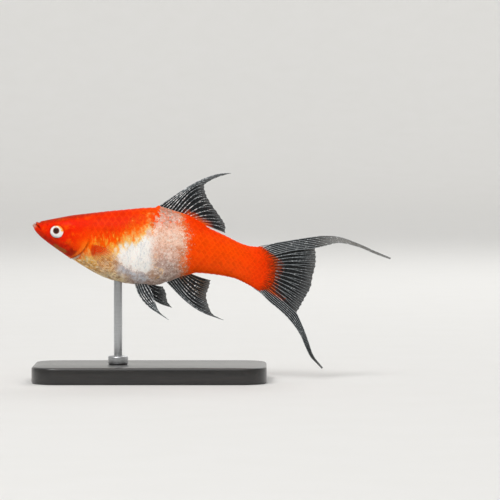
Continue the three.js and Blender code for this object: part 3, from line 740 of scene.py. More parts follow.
def silver_flecks(g, f, tone):
    """The silvery skin glitters in bright and in grey-brown flecks, brightest in a row half-way
    up, and orange specks are strewn over the top of the saddle."""
    outside_front = g.less(1.0, g.times(f.front, 0.6))
    tone = g.paint(tone, Paint.silver, g.smooth(f.speck, 0.05, 0.2), outside_front, 0.42)
    tone = g.paint(tone, Paint.sheen, g.smooth(f.mosaic, 0.06, 0.22), g.less(1.0, f.front), 0.3)
    row = g.smooth(g.size(g.less(f.z, 43.8)), 2.6, 0.8, 0.45, 1.0)
    tone = g.paint(tone, Paint.glints, f.glints, row, 0.85)
    outside_belly = g.less(1.0, g.times(f.belly, 0.8))
    tone = g.stain(tone, Paint.pale_shadow, g.smooth(f.speck, -0.06, -0.22), outside_belly, 0.6)
    specks = g.smooth(g.add(f.speck, f.close), 0.08, 0.16)
    return g.paint(tone, Paint.saddle_specks, specks, g.smooth(f.z, 45.5, 47.5), 0.85)


def borders(g, f, warm, tone):
    """The warm and the pale parts side by side: tan between them, yellow and golden streaks over
    the belly, the deep red base of the pectoral fin, and painted pale glints strewn behind the saddle."""
    shade = g.mix(f.pale, warm, tone)
    shade = g.paint(shade, Paint.between, f.pale, g.less(1.0, f.pale), 3.2)
    yellow = g.times(g.band(f.below, -5.6, -0.6, 0.3, 2.6), g.band(f.x, -23.0, -17.0, -1.5, 2.0))
    gold = g.mix(g.smooth(f.below, -3.2, 1.0), Paint.orange_edge, Paint.yellow_edge)
    shade = g.paint(shade, gold, yellow, 0.85)
    golden = g.times(g.smooth(f.hair, 0.0, 0.14), g.band(f.below, -7.0, -3.0, 0.4, 2.0))
    golden = g.times(golden, g.band(f.x, -18.5, -15.5, -8.0, -4.0), g.smooth(f.z, 45.4, 43.0))
    shade = g.paint(shade, Paint.golden, golden, 0.62)
    from_base = g.from_middle(f.true_x, f.true_z, (-16.75, 39.3), (0.95, 2.1))
    shade = g.paint(shade, Paint.fin_base, g.smooth(from_base, 1.3, 0.2), 0.85)
    behind = g.times(g.band(f.before, -4.0, -0.8, 0.0, 0.8), g.band(f.z, 38.0, 40.5, 44.0, 46.5))
    # painted pale glints strewn on the orange just behind the saddle
    return g.paint(shade, Paint.strewn_glints, behind, f.glints, 0.6)


def markings():
    """The fish's colours over its side view, the same for skin and scales. Edge Shift moves the
    borders of the pale parts by that many millimetres. Pearl is the share of silvery skin."""
    inputs = [("Place", "NodeSocketVector"), ("Edge Shift", "NodeSocketFloat")]
    outputs = [("Color", "NodeSocketColor"), ("Pearl", "NodeSocketFloat")]
    g, given, result = node_group("swordtail_markings", inputs, outputs)
    f = SideView(g, given["Place"], given["Edge Shift"])
    warm = gills_and_lips(g, f, under_head(g, f, dark_dots(g, f, warm_parts(g, f))))
    tone = silver_flecks(g, f, low_saddle(g, f, belly_and_breast(g, f)))
    shade = borders(g, f, warm, tone)
    # the thin skin under the gill cover's edge is cream
    hem = g.band(g.less(g.curve(f.true_x, GILL_HEM), f.true_z), 0.0, 0.15, 0.5, 1.0)
    shade = g.paint(shade, Paint.gill_hem, hem, g.band(f.true_x, -28.0, -26.5, -21.6, -20.4), 0.7)
    # fine pigment grain over all
    light = g.add(1.0, g.times(f.grain, 0.35), g.times(f.close, 0.14), g.times(f.cells, 0.1))
    g.feed(result["Color"], g.lighten(shade, light))
    g.feed(result["Pearl"], f.pale)
    return g.tree


MARKINGS = markings()
SKIN_SHINE = {"Specular_IOR_Level": 0.025, "Coat_Weight": 0.02, "Coat_Roughness": 0.12}
skin_look, g, where = new_look("swordtail_skin")
painted = g.group(MARKINGS, Place=where)
# painted shade darkens the skin in its creases: the mouth, nostrils, groove round the eye, folds and
# gill slot
crease_shade = g.node("Attribute", {}, output="Fac", attribute_name="crease_shade")
pores = g.noise(where, 0.16 * MM, 2.0, 0.6)
finish_look(
    skin_look, g, Base_Color=g.paint(painted["Color"], Paint.crease_shade, crease_shade, 0.8),
    Roughness=g.add(0.36, g.times(pores, 0.16)), Normal=g.bump(pores, 0.25, 0.03), **SKIN_SHINE,
)
skin.data.materials.clear()
skin.data.materials.append(skin_look)
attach(skin, "root")
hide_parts("head", "trunk", "tail_stalk")

# Scales: thin rounded plates of bone in rows from the gill cover to the tail, each rooted under
# the one before it with its hind edge free. One coat covers each side of the fish, and a plate
# carries the colours of the skin below it, darker in the middle and paler along the edge.
SCALE_ROWS = 14
SCALE_PITCH = 2.1
SCALE_HEIGHT = 1.9
SCALE_LENGTH = 1.75
SCALE_OVERHANG = 1.06
SCALE_SINK = 0.05
SCALE_RISE = 0.19
SCALE_ARCH = 0.05
SCALE_THICKNESS = 0.045
# A scale widens up to this share of its length, and is rounded from there on
SCALE_ROUND = 0.42
# Scales are rooted from a little before the gill cover's edge, and on the nape above a line that
# drops to the rear, but not low on the throat
COVER_LAP = 1.3
NAPE = {"front": -26.3, "x": -19, "z": 49.0, "drop": 0.16}
THROAT = {"rear": -17.5, "share": 0.8}
COAT_START, COAT_END = -27.0, 36.2
COAT_STEP = 0.25
PATCH = 0.003

coat_stations = np.arange(COAT_START, STALK_MIDDLE + 0.01, COAT_STEP)
coat_shares = np.linspace(0, 1, 121)


def coat_table():
    """Places on the right side of the body over station and share of the way from back to belly,
    with their normals, and the length of that way at each station."""
    angles = np.linspace(0, np.pi, 361)
    raw = body_point(coat_stations[:, None], angles[None, :])
    steps = np.linalg.norm(np.diff(raw, axis=1), axis=2)
    run = np.concatenate([np.zeros((len(raw), 1)), np.cumsum(steps, 1)], 1)
    girth = run[:, -1]
    chosen = np.array([np.interp(coat_shares, r / r[-1], angles) for r in run])
    places = body_point(coat_stations[:, None], chosen)
    along = np.gradient(places, axis=0)
    over = np.gradient(places, axis=1)
    over[:, 0] = (0, 1, 0)
    over[:, -1] = (0, -1, 0)
    normals = np.cross(along, over)
    normals /= np.linalg.norm(normals, axis=2, keepdims=True)
    return places, normals, girth


coat_places, coat_normals, half_girth = coat_table()
row_height = half_girth / SCALE_ROWS
row_pitch = SCALE_PITCH * (row_height / SCALE_HEIGHT) ** 0.5


def on_coat(station, share):
    """Place and normal on the body, where a share below 0 or above 1 is over on the other side."""
    over = (share < 0) | (share > 1)
    share = np.where(share < 0, -share, np.where(share > 1, 2 - share, share))
    row = np.clip((station - coat_stations[0]) / COAT_STEP, 0, len(coat_stations) - 1.001)
    column = np.clip(share, 0, 1) * (len(coat_shares) - 1.001)
    i, j = row.astype(int), column.astype(int)
    a, b = (row - i)[..., None], (column - j)[..., None]
    found = []
    for table in (coat_places, coat_normals):
        near = table[i, j] * (1 - b) + table[i, j + 1] * b
        far = table[i + 1, j] * (1 - b) + table[i + 1, j + 1] * b
        value = near * (1 - a) + far * a
        value[..., 1] *= np.where(over, -1, 1)
        found.append(value)
    return found


def plate_pattern():
    """One flat scale: its corners as shares of length and half width, and its faces. The plate
    is closed: an upper and a lower leaf that are joined by a rim."""
    across = np.array([-1.0, -0.78, -0.42, 0.0, 0.42, 0.78, 1.0])
    rear = SCALE_ROUND + (1 - SCALE_ROUND) * np.sqrt(1 - across**2)
    front = 0.06 * np.abs(across)
    rows, columns = 5, len(across)
    s = front + (rear - front) * np.linspace(0, 1, rows)[:, None]
    t = np.broadcast_to(across, s.shape) * (0.72 + 0.28 * np.clip(s / SCALE_ROUND, 0, 1))
    count = rows * columns
    faces = []
    for i in range(rows - 1):
        for j in range(columns - 1):
            a = i * columns + j
            quad = (a, a + columns, a + columns + 1, a + 1)
            faces.append(quad)
            faces.append(tuple(k + count for k in reversed(quad)))
    border = list(range(columns))
    border += [i * columns + columns - 1 for i in range(1, rows)]
    border += [(rows - 1) * columns + j for j in range(columns - 2, -1, -1)]
    border += [i * columns for i in range(rows - 2, 0, -1)]
    for k, a in enumerate(border):
        b = border[(k + 1) % len(border)]
        faces.append((a, b, b + count, a + count))
    return s.ravel(), t.ravel(), np.array(faces)


def carries_scale(root, share):
    """Whether a scale is rooted at a place: on the flank or the nape, and not at the throat."""
    x, _, z = root
    flank = x > gill_edge(z) - COVER_LAP
    nape = z > NAPE["z"] - NAPE["drop"] * (x - NAPE["x"]) and x > NAPE["front"]
    throat = share > THROAT["share"] and x < THROAT["rear"]
    return (flank or nape) and not throat


def lay_plate(s, t, station, share, jitter, tilt):
    """The upper and the lower leaf of one scale on the right side of the body."""
    pitch = np.interp(station, coat_stations, row_pitch)
    size = np.interp(station, coat_stations, row_height) / SCALE_HEIGHT
    length = min(SCALE_LENGTH * pitch, COAT_END + 0.15 - station)
    reach = station + s * length + 0.02 * pitch * jitter
    half = SCALE_OVERHANG * np.interp(reach, coat_stations, row_height)
    spread = share + t * half / np.interp(reach, coat_stations, half_girth)
    places, normals = on_coat(reach, spread)
    # the scales lie flatter towards the head
    calm = 0.45 + 0.55 * float(smooth(station, -22, -14))
    rise = SCALE_RISE * calm * (0.55 + 0.45 * size) * (1 + 0.12 * tilt)
    lift = -SCALE_SINK + rise * s - SCALE_ARCH * size * t**2 * calm
    upper = places + normals * lift[:, None]
    return upper, upper - normals * SCALE_THICKNESS


def joined_piece(name, corners, faces):
    """One object from a table of corners in millimetres and a list of faces."""
    mesh = bpy.data.meshes.new(name)
    mesh.from_pydata((corners * MM).tolist(), [], faces)
    piece = bpy.data.objects.new(name, mesh)
    bpy.context.collection.objects.link(piece)
    return piece


def coat(name, side, seed):
    """All the scales of one side, joined in one mesh."""
    chance = np.random.default_rng(seed)
    s, t, plate_faces = plate_pattern()
    corners, looks, patches, faces = [], [], [], []
    for row in range(SCALE_ROWS):
        share = (row + 0.5) / SCALE_ROWS
        station = COAT_START + 0.6
        station += 0.5 * np.interp(station, coat_stations, row_pitch) * (row % 2)
        while station < COAT_END - 0.4:
            jitter, tilt, tint = chance.normal(0, 1, 3)
            root, _ = on_coat(np.array(station), np.array(share))
            if carries_scale(root, share):
                faces.append(plate_faces + len(corners) * len(s))
                u = 0.01 + 0.98 * (station - COAT_START) / (COAT_END - COAT_START)
                v = 0.5 + side * 0.49 * share
                patch = np.stack([u + PATCH * (s - 0.5), v + PATCH * 0.5 * t], 1)
                for leaf in lay_plate(s, t, station, share, jitter, tilt):
                    corners.append(leaf * (1, side, 1))
                    looks.append(np.stack([s, t, np.full(s.shape, tint)], 1))
                    patches.append(patch)
            station += np.interp(station, coat_stations, row_pitch)
    faces = np.concatenate(faces)
    if side > 0:
        faces = faces[:, ::-1]
    piece = joined_piece(name, np.concatenate(corners), faces.tolist())
    point_values(piece, "plate", np.concatenate(looks), "FLOAT_VECTOR")
    unwrap = piece.data.uv_layers.new(name="OFBake")
    loops = np.empty(len(piece.data.loops), int)
    piece.data.loops.foreach_get("vertex_index", loops)
    unwrap.data.foreach_set("uv", np.concatenate(patches)[loops].ravel())
    select_only(piece)
    bpy.ops.object.shade_smooth_by_angle(angle=math.radians(50))
    return piece


scale_look, g, where = new_look("swordtail_scales")
plate = g.node("Attribute", {}, output="Vector", attribute_name="plate")
part = g.node("SeparateXYZ", {0: plate}).node.outputs
length_share, width_share, tint = part["X"], part["Y"], part["Z"]
_, along_body, _ = g.side_view(where)
from_middle = g.from_middle(length_share, width_share, (0.7, 0.0), (0.17, 0.4))
edge_shift = g.add(g.times(tint, 0.3), g.smooth(from_middle, 0.2, 2.4, -0.45, 0.45))
painted = g.group(MARKINGS, Place=where, Edge_Shift=edge_shift)
pearl = painted["Pearl"]
warm_part = g.less(1.0, pearl)
# the middle of a warm scale is deeper, and its rim lighter, less so towards the tail
middle = g.times(g.smooth(from_middle, 2.4, 0.0), g.add(g.times(warm_part, 0.3), 0.04))
to_rear = g.smooth(along_body, 6.0, 16.0, 1.0, 0.75)
shade = g.stain(painted["Color"], colour(226, 168, 150), middle, to_rear)
curved = g.maths("SQRT", g.maths("MAXIMUM", g.less(1.0, g.times(width_share, width_share)), 0.0))
hind_edge = g.add(SCALE_ROUND, g.times(curved, 1 - SCALE_ROUND))
rim = g.smooth(g.less(hind_edge, length_share), 0.15, 0.02)
rim_shade = g.mix(0.45, shade, colour(255, 150, 40))
shade = g.paint(shade, rim_shade, rim, warm_part, g.smooth(along_body, 6.0, 16.0, 0.14, 0.11))
# a silvery scale has a pale rim, and some shine in the middle
shade = g.paint(shade, colour(255, 246, 236), rim, pearl, 0.12)
shine = g.times(g.smooth(from_middle, 3.0, 0.0), g.smooth(tint, -0.4, 1.6))
shade = g.paint(shade, colour(255, 240, 228), shine, pearl, 0.26)
rings = {"Vector": plate, "Scale": 4.0, "Distortion": 1.0}
growth_rings = g.node("TexWave", rings, output="Fac", wave_type="RINGS")
finish_look(
    scale_look, g, Base_Color=g.lighten(shade, g.add(1.0, g.times(tint, 0.035))),
    Roughness=g.add(0.3, g.times(g.noise(where, 0.4 * MM), 0.16)),
    Metallic=g.times(pearl, 0.12), Normal=g.bump(growth_rings, 0.12, 0.02), **SKIN_SHINE,
)
for name, side, seed in (("scales_left", -1, 11), ("scales_right", 1, 23)):
    scales = coat(name, side, seed)
    scales.data.materials.append(scale_look)
    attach(scales, "root")

# Eyes: a silvery-white iris round a dark, bulging pupil, under a clear, wet surface. Each sits
# in its orbit with only the front showing, and the iris is drawn out a little to the rear.
EYE_TURN, EYE_LIFT = 0.2, 0.05
EYE_SINK = 0.12
EYE_BACK = 1.2
PUPIL = 0.43
EYE_ROUND = 2.1
IRIS_RISE = 0.5
LENS_RISE = 0.2
GROOVE_DEPTH = 0.07
IRIS_SHADES = [
    (0.0, colour(44, 24, 10)), (PUPIL - 0.13, colour(52, 24, 10)),
    (PUPIL - 0.06, colour(120, 36, 14)), (PUPIL, colour(92, 34, 18)),
    (PUPIL + 0.04, colour(228, 222, 214)), (0.6, colour(246, 246, 244)),
    (0.86, colour(244, 244, 242)), (0.97, colour(196, 192, 186)), (1.0, colour(120, 60, 40)),
]


def side_at(x, z):
    """Half the width of the plain body at one place of the side view."""
    angles = np.linspace(0, np.pi, 721)
    ring = body_point(np.full(angles.shape, x), angles)
    return float(np.interp(-z, -ring[:, 2], ring[:, 1]))


def eye_axes(side):
    """Which way the eye looks, and the ways to the rear and up across it."""
    outwards = np.array([-math.sin(EYE_TURN), side * math.cos(EYE_TURN), EYE_LIFT])
    outwards /= np.linalg.norm(outwards)
    rear = np.array([1.0, 0.0, 0.0]) - outwards[0] * outwards
    rear /= np.linalg.norm(rear)
    return outwards, rear, np.cross(rear, outwards) * side


def eye(name, side):
    """A sphere primitive that is pressed into the form of the eye, front up, and set in its orbit."""
    bpy.ops.object.select_all(action="DESELECT")
    bpy.ops.mesh.primitive_uv_sphere_add(segments=72, ring_count=48, radius=1)
    piece = bpy.context.object
    piece.name = name
    piece.data.name = name
    unit = np.array([v.co for v in piece.data.vertices], float)
    polar = np.arccos(np.clip(unit[:, 2], -1, 1)) / (np.pi / 2)
    turn = np.arctan2(unit[:, 1], unit[:, 0])
    reach = np.clip(polar, 0, 1)
    # round at the pupil, and an oval drawn out to the rear and down at the rim of the iris
    drawn = smooth(reach, PUPIL, 1.0)
    out = np.where(polar <= 1, reach, np.sqrt(np.clip(1 - (polar - 1) ** 2, 0, 1)))
    long, high = (EYE_ROUND + (EYE[way] - EYE_ROUND) * drawn for way in ("long", "high"))
    rearwards = long * out * np.cos(turn) + EYE["rear"] * drawn
    upwards = high * out * np.sin(turn) - EYE["low"] * drawn
    lens = LENS_RISE * np.sqrt(np.clip(1 - (reach / PUPIL) ** 2, 0, 1))
    groove = GROOVE_DEPTH * hump(reach - PUPIL - 0.03, 0.045)
    front = IRIS_RISE * (1 - reach**2.5) + lens - groove
    up = np.where(polar <= 1, front, -EYE_BACK * np.sin((polar - 1) * np.pi / 2))
    outwards, rear, upright = eye_axes(side)
    centre = np.array([EYE["x"], side * (side_at(EYE["x"], EYE["z"]) - EYE_SINK), EYE["z"]])
    across = rearwards[:, None] * rear + upwards[:, None] * upright
    places = centre + across + up[:, None] * outwards
    piece.data.vertices.foreach_set("co", (places * MM).ravel())
    iris_place = np.stack([reach * np.cos(turn), reach * np.sin(turn), reach], 1)
    point_values(piece, "iris", iris_place, "FLOAT_VECTOR")
    face_outwards(piece)
    bpy.ops.object.shade_smooth()
    return piece


eye_look, g, where = new_look("swordtail_eye")
iris_place = g.node("Attribute", {}, output="Vector", attribute_name="iris")
part = g.node("SeparateXYZ", {0: iris_place}).node.outputs
reach = part["Z"]
rearwards = g.maths("DIVIDE", part["X"], g.maths("MAXIMUM", reach, 0.01))
upwards = g.maths("DIVIDE", part["Y"], g.maths("MAXIMUM", reach, 0.01))
ring = g.ramp(reach, IRIS_SHADES)
# fine silver streaks run out from the pupil
spokes = {0: g.times(rearwards, 3.0), 1: g.times(upwards, 3.0), 2: g.times(reach, 1.2)}
streaks = g.noise(g.node("CombineXYZ", spokes), 0.35, 3.0, 0.6)
in_iris = g.smooth(reach, PUPIL + 0.02, PUPIL + 0.1)
ring = g.paint(ring, colour(176, 184, 190), g.smooth(streaks, 0.45, 0.75), in_iris, 0.3)
# the upper hind corner is tinged orange, and the lower front is in shadow
uneven = g.times(g.sway(where, 0.5 * MM), 0.5)
corner = g.smooth(g.add(g.times(rearwards, 0.6), g.times(upwards, 0.8)), 0.36, 0.72)
tinge = g.mix(g.smooth(reach, 0.74, 0.94), colour(255, 190, 60), colour(250, 96, 14))
ring = g.paint(ring, tinge, corner, g.smooth(g.add(reach, uneven), 0.62, 0.76))
under = g.smooth(g.add(g.times(rearwards, -0.5), g.times(upwards, -0.86)), 0.5, 0.95)
ring = g.paint(ring, colour(138, 146, 154), under, g.smooth(reach, 0.6, 0.95), 0.55)
finish_look(
    eye_look, g, Base_Color=ring, Roughness=g.add(0.22, g.times(streaks, 0.12)),
    Specular_IOR_Level=0.15, Coat_Weight=0.25, Coat_Roughness=0.03,
)
for name, side in (("eye_left", -1), ("eye_right", 1)):
    eyeball = eye(name + "_ball", side)
    eyeball.data.materials.append(eye_look)
    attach(eyeball, "root")
    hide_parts(name)

# Dorsal fin: sixteen forked, jointed rays in a smoky web. The first rays lie close together
# and run out in a long tip, and the last ones are tinged orange at the root.
DORSAL_ROOT = (2.6, 16.0)
DORSAL_LEAD = [(8.6, 56.4), (12.1, 58.6), (15.5, 60.4), (20.7, 62.1)]
DORSAL_EDGE = [
    (24.4, 62.35), (20.9, 61.35), (18.1, 60.1), (16.4, 58.8), (16.55, 57.0),
    (17.2, 55.2), (18.8, 52.6), (20.5, 50.2), (21.8, 48.3), (22.6, 46.7), (22.6, 44.5),
]
DORSAL_TRAIL = [(19.0, 45.9)]
ROOT_SINK = 0.5
WEB_THICKNESS = 0.07
# Rows from root to edge, columns from ray to ray, and how far the edge is drawn in between them
WEB_ROWS = 44
WEB_COLUMNS = 12
WEB_SCALLOP = 0.26
RAY_ROOT, RAY_TIP = 0.135, 0.075
RAY_LEAST = 0.015
RAY_STEP = 0.26
RAY_SIDES = 8
RAY_FLATNESS = 0.8
JOINT_LENGTH = 0.55
JOINT_SWELL = 0.1


def distances(places):
    """How far each place lies along a path."""
    return np.concatenate([[0], np.cumsum(np.linalg.norm(np.diff(places, axis=0), axis=1))])


class Line:
    """A smooth line through a few places, read by point or by length."""

    def __init__(self, points):
        p = np.array(points, float)
        padded = np.vstack([2 * p[0] - p[1], p, 2 * p[-1] - p[-2]])
        step = np.maximum(np.linalg.norm(np.diff(padded, axis=0), axis=1), 1e-9) ** 0.5
        samples = []
        t = np.linspace(0, 1, 40, endpoint=False)[:, None]
        for i in range(len(p) - 1):
            a, b, c, d = padded[i : i + 4]
            before, here, after = step[i : i + 3]
            leave = ((b - a) / before - (c - a) / (before + here) + (c - b) / here) * here
            arrive = ((c - b) / here - (d - b) / (here + after) + (d - c) / after) * here
            curve = (2 * t**3 - 3 * t**2 + 1) * b + (t**3 - 2 * t**2 + t) * leave
            samples.append(curve + (3 * t**2 - 2 * t**3) * c + (t**3 - t**2) * arrive)
        self.samples = np.vstack([*samples, p[-1:]])
        self.run = distances(self.samples)

    def read(self, t, places):
        return np.stack([np.interp(t, places, axis) for axis in self.samples.T], -1)

    def by_point(self, t):
        return self.read(t, np.linspace(0, 1, len(self.samples)))

    def by_length(self, t):
        return self.read(t, self.run / self.run[-1])


class Fin:
    """A sheet between four lines in the side view: its root, its free edge, and its first and
    last rays. It bends to one side towards the edge."""

    def __init__(self, root, lead, edge, trail, bend, pose=None):
        self.root, self.edge = Line(root), Line(edge)
        self.lead = Line([root[0], *lead, edge[0]])
        self.trail = Line([root[-1], *trail, edge[-1]])
        self.bend = bend
        self.pose = pose

    def place(self, u, v):
        """Places by column, from the first ray to the last, and by share from root to edge."""
        u, v = np.broadcast_arrays(np.asarray(u, float), np.asarray(v, float))
        inside = np.clip(v, 0, 1)
        a, b = u[..., None], inside[..., None]
        along = self.root.by_length(u) * (1 - b) + self.edge.by_point(u) * b
        across = self.lead.by_length(inside) * (1 - a) + self.trail.by_length(inside) * a
        # both pairs of lines carry the corners, so these are taken off once
        first = self.root.by_length(0.0) * (1 - b) + self.edge.by_point(0.0) * b
        last = self.root.by_length(1.0) * (1 - b) + self.edge.by_point(1.0) * b
        flat = along + across - first * (1 - a) - last * a
        return np.stack([flat[..., 0], self.bend * inside**2, flat[..., 1]], -1)

    def laid(self, places):
        return places if self.pose is None else self.pose(places)

    def length(self, u):
        return distances(self.place(u, np.linspace(0, 1, 30)))[-1]


def web(name, fins, counts):
    """The web between the rays: one thin sheet for each part of the fin, drawn in a little
    between the tips of the branches."""
    sheets = []
    for fin, count in zip(fins, counts):
        gaps = count - 1
        u = np.linspace(0, 1, gaps * WEB_COLUMNS + 1)
        v = np.linspace(0, 1, WEB_ROWS)
        drawn = 0.7 * np.sin(np.pi * gaps * u) ** 2 + 0.3 * np.sin(2 * np.pi * gaps * u) ** 2
        reach = 1 - WEB_SCALLOP * drawn / np.array([fin.length(k) for k in u])
        places = fin.place(u[None, :], v[:, None] * reach[None, :])
        sheets.append(wrap_grid(name, fin.laid(places)))
    bpy.ops.object.select_all(action="DESELECT")
    for sheet in sheets:
        sheet.select_set(True)
    bpy.context.view_layer.objects.active = sheets[0]
    if len(sheets) > 1:
        bpy.ops.object.join()
    piece = bpy.context.object
    piece.name = name
    face_outwards(piece)
    thick = piece.modifiers.new("thickness", "SOLIDIFY")
    thick.thickness = WEB_THICKNESS * MM
    thick.offset = 0
    bpy.ops.object.modifier_apply(modifier=thick.name)
    bpy.ops.object.shade_smooth_by_angle(angle=math.radians(60))
    piece.data.uv_layers[0].name = "web"
    return piece


def leaning(column, *leans):
    """The column of a stem or branch over the share of the way to the edge. Each lean tells how
    far it moves off, from which share on, and over how much of the way."""
    def columns(v):
        moved = sum(away * smooth(v, start, start + over) for away, start, over in leans)
        return column + moved + 0 * v

    return columns


def branches(column, spacing, forks, chance):
    """The stem of a ray that forks once or twice, and its branches."""
    first = forks[0] + 0.04 * chance.normal()
    made = [(leaning(column), 0.0, first + 0.02, 1.0)]
    for side in (-1, 1):
        lean = (side * spacing * 0.23, first, 0.42)
        second = forks[1] + 0.04 * chance.normal() if len(forks) > 1 else 1.0
        made.append((leaning(column, lean), first, second, 0.84))
        if len(forks) > 1:
            for twig in (-1, 1):
                small_lean = (twig * spacing * 0.11, second, 0.3)
                made.append((leaning(column, lean, small_lean), second - 0.02, 1.0, 0.7))
    return made


def ray_paths(count, forks, plain, chance):
    """The stem and branches of each ray: column, first and last share, and size. The first few,
    plain, and the last one don't fork."""
    spacing = 1 / (count - 1)
    paths = []
    for k in range(count):
        if forks and plain <= k < count - 1:
            paths.append(branches(k * spacing, spacing, forks, chance))
        else:
            paths.append([(leaning(k * spacing), 0.0, 1.0, 1.0)])
    return paths


def tube(path, radius):
    """Corners and faces of a closed tube along a path, a little flattened from side to side."""
    along = np.gradient(path, axis=0)
    along /= np.linalg.norm(along, axis=1, keepdims=True)
    over = np.cross(along, (0.0, 1.0, 0.0))
    over /= np.linalg.norm(over, axis=1, keepdims=True)
    out = RAY_FLATNESS * np.cross(over, along)
    turn = np.linspace(0, 2 * np.pi, RAY_SIDES, endpoint=False)[None, :, None]
    ring = np.cos(turn) * over[:, None] + np.sin(turn) * out[:, None]
    corners = (path[:, None] + radius[:, None, None] * ring).reshape(-1, 3)
    faces = []
    for i in range(len(path) - 1):
        for j in range(RAY_SIDES):
            a, b = i * RAY_SIDES + j, i * RAY_SIDES + (j + 1) % RAY_SIDES
            faces.append((a, b, b + RAY_SIDES, a + RAY_SIDES))
    last = (len(path) - 1) * RAY_SIDES
    caps = [tuple(range(RAY_SIDES))[::-1], tuple(last + j for j in range(RAY_SIDES))]
    return corners, faces + caps


def rays(name, fins, counts, forks, seed, root=RAY_ROOT, tip=RAY_TIP, crowd=0.3, plain=1):
    """All the rays of a fin in one mesh, with joints along them. Each corner keeps its column and
    its share of the way from root to edge. Crowd is the most of the gap to the next ray that a
    ray's radius may take."""
    chance = np.random.default_rng(seed)
    corners, looks, faces, first = [], [], [], 0
    for part, (fin, count, fork) in enumerate(zip(fins, counts, forks)):
        for k, stems in enumerate(ray_paths(count, fork, plain, chance)):
            phase = chance.uniform(0, 1)
            length = fin.length(k / (count - 1))
            to_next = (1 if k < count - 1 else -1) / (count - 1)
            least = tip if k in (0, count - 1) else RAY_LEAST
            for column, start, end, size in stems:
                v = np.linspace(start, end, max(6, int((end - start) * length / RAY_STEP)))
                places = fin.place(column(v), v)
                if start == 0:
                    down = places[0] - places[1]
                    sunk = places[0] + ROOT_SINK * down / np.linalg.norm(down)
                    places = np.vstack([sunk, places])
                    v = np.concatenate([[0], v])
                away = fin.place(column(v) + to_next, v) - fin.place(column(v), v)
                most = crowd * size**3 * np.linalg.norm(away, axis=1)
                radius = size * (root + (tip - root) * v**0.8)
                radius = np.maximum(np.minimum(radius, most), least)
                joint = np.cos(2 * np.pi * (distances(places) / JOINT_LENGTH + phase))
                radius *= 1 + JOINT_SWELL * joint * smooth(v, 0.12, 0.3)
                radius[-1] *= 0.5
                tube_corners, tube_faces = tube(fin.laid(places), radius)
                corners.append(tube_corners)
                look = np.stack([column(v), v, np.full(v.shape, part + phase)], 1)
                looks.append(np.repeat(look, RAY_SIDES, axis=0))
                faces += [tuple(i + first for i in face) for face in tube_faces]
                first += len(tube_corners)
    piece = joined_piece(name, np.concatenate(corners), faces)
    point_values(piece, "ray", np.concatenate(looks), "FLOAT_VECTOR")
    face_outwards(piece)
    bpy.ops.object.shade_smooth_by_angle(angle=math.radians(60))
    return piece


RAY_GREY = colour(118, 124, 127)
# the rays' pale flecks: their own white pigment, partly painted glints
RAY_FLECK_GLINT = colour(222, 226, 228)
RAY_DARK = colour(50, 55, 57)
SMOKE = colour(17, 20, 22)
VEIL = colour(38, 42, 45)


def ray_look(name, tint, tinted, grey=RAY_GREY, fleck_glint=RAY_FLECK_GLINT, flecked_with_glints=0.5, clear=None,
             sparkle=None):
    """Grey rays with pale flecks, their own white pigment with painted glints on it. The mask
    tinted tells where they take the tint, and clear is how solid they are near the root and at
    the tip where they let light through. Sparkle is the middle and the reach of a patch of
    glittering flecks."""
    look, g, where = new_look(name)
    ray_place = g.node("Attribute", {}, output="Vector", attribute_name="ray")
    part = g.node("SeparateXYZ", {0: ray_place}).node.outputs
    column, share = part["X"], part["Y"]
    scatter = g.noise(where, 0.6 * MM, 2.0, 0.6)
    flecks = g.smooth(scatter, 0.58 - 0.1 * flecked_with_glints, 0.76 - 0.1 * flecked_with_glints)
    shade = g.mix(g.smooth(share, 0.35, 1.0), grey, g.mix(0.25, grey, RAY_DARK))
    # pale flecks along the rays, their own white pigment with painted glints
    shade = g.paint(shade, fleck_glint, flecks, g.smooth(share, 0.55, 1.0, 0.95, 0.5))
    shade = g.mix(tinted(g, where, column, share), shade, tint)
    if sparkle:
        _, x, z = g.side_view(where)
        around = g.smooth(g.from_middle(x, z, *sparkle), 1.0, 0.3)
        bright = g.smooth(g.noise(where, 0.45 * MM, 0.0), 0.56, 0.64)
        shade = g.paint(shade, colour(255, 255, 255), around, bright)
    finish_look(
        look, g, Base_Color=shade, Roughness=g.smooth(flecks, 0.0, 1.0, 0.42, 0.25),
        Alpha=g.smooth(share, 0.3, 0.6, *clear) if clear else 1.0, Specular_IOR_Level=0.2,
    )
    return look


def web_look(name, tint, tinted, smoke=SMOKE, veil=VEIL, thick=0.93, thin=0.66, dense=0.15,
             far=None):
    """The smoky web, which lets a little light through, more towards its edge and less by dense
    where it is tinted. Where far is given, it takes on far's shade and alpha between far's two
    places along X."""
    look, g, where = new_look(name)
    part = g.node("SeparateXYZ", {0: g.node("UVMap", {}, uv_map="web")}).node.outputs
    column, share = part["X"], part["Y"]
    fibres = g.streaks(column, 160.0, share, 4.0, roughness=0.5)
    shade = g.mix(g.smooth(fibres, 0.35, 0.75, 0.0, 0.7), smoke, veil)
    cloud = g.sway(where, 1.6 * MM, 3.0, 0.6)
    alpha = g.add(g.smooth(share, 0.66, 1.0, thick, thin), g.times(cloud, 0.2))
    if far:
        _, x, _ = g.side_view(where)
        beyond = g.smooth(x, far["from"], far["to"])
        shade = g.mix(beyond, shade, far["shade"])
        alpha = g.add(alpha, g.times(beyond, g.less(far["alpha"], alpha)))
    inside = tinted(g, where, column, share)
    shade = g.mix(inside, shade, tint)
    alpha = g.add(alpha, g.times(inside, dense))
    finish_look(
        look, g, Base_Color=shade, Roughness=0.3, Specular_IOR_Level=0.15,
        Alpha=g.maths("MINIMUM", g.maths("MAXIMUM", alpha, 0.02), 0.95),
        Normal=g.bump(fibres, 0.3, 0.04),
    )
    return look


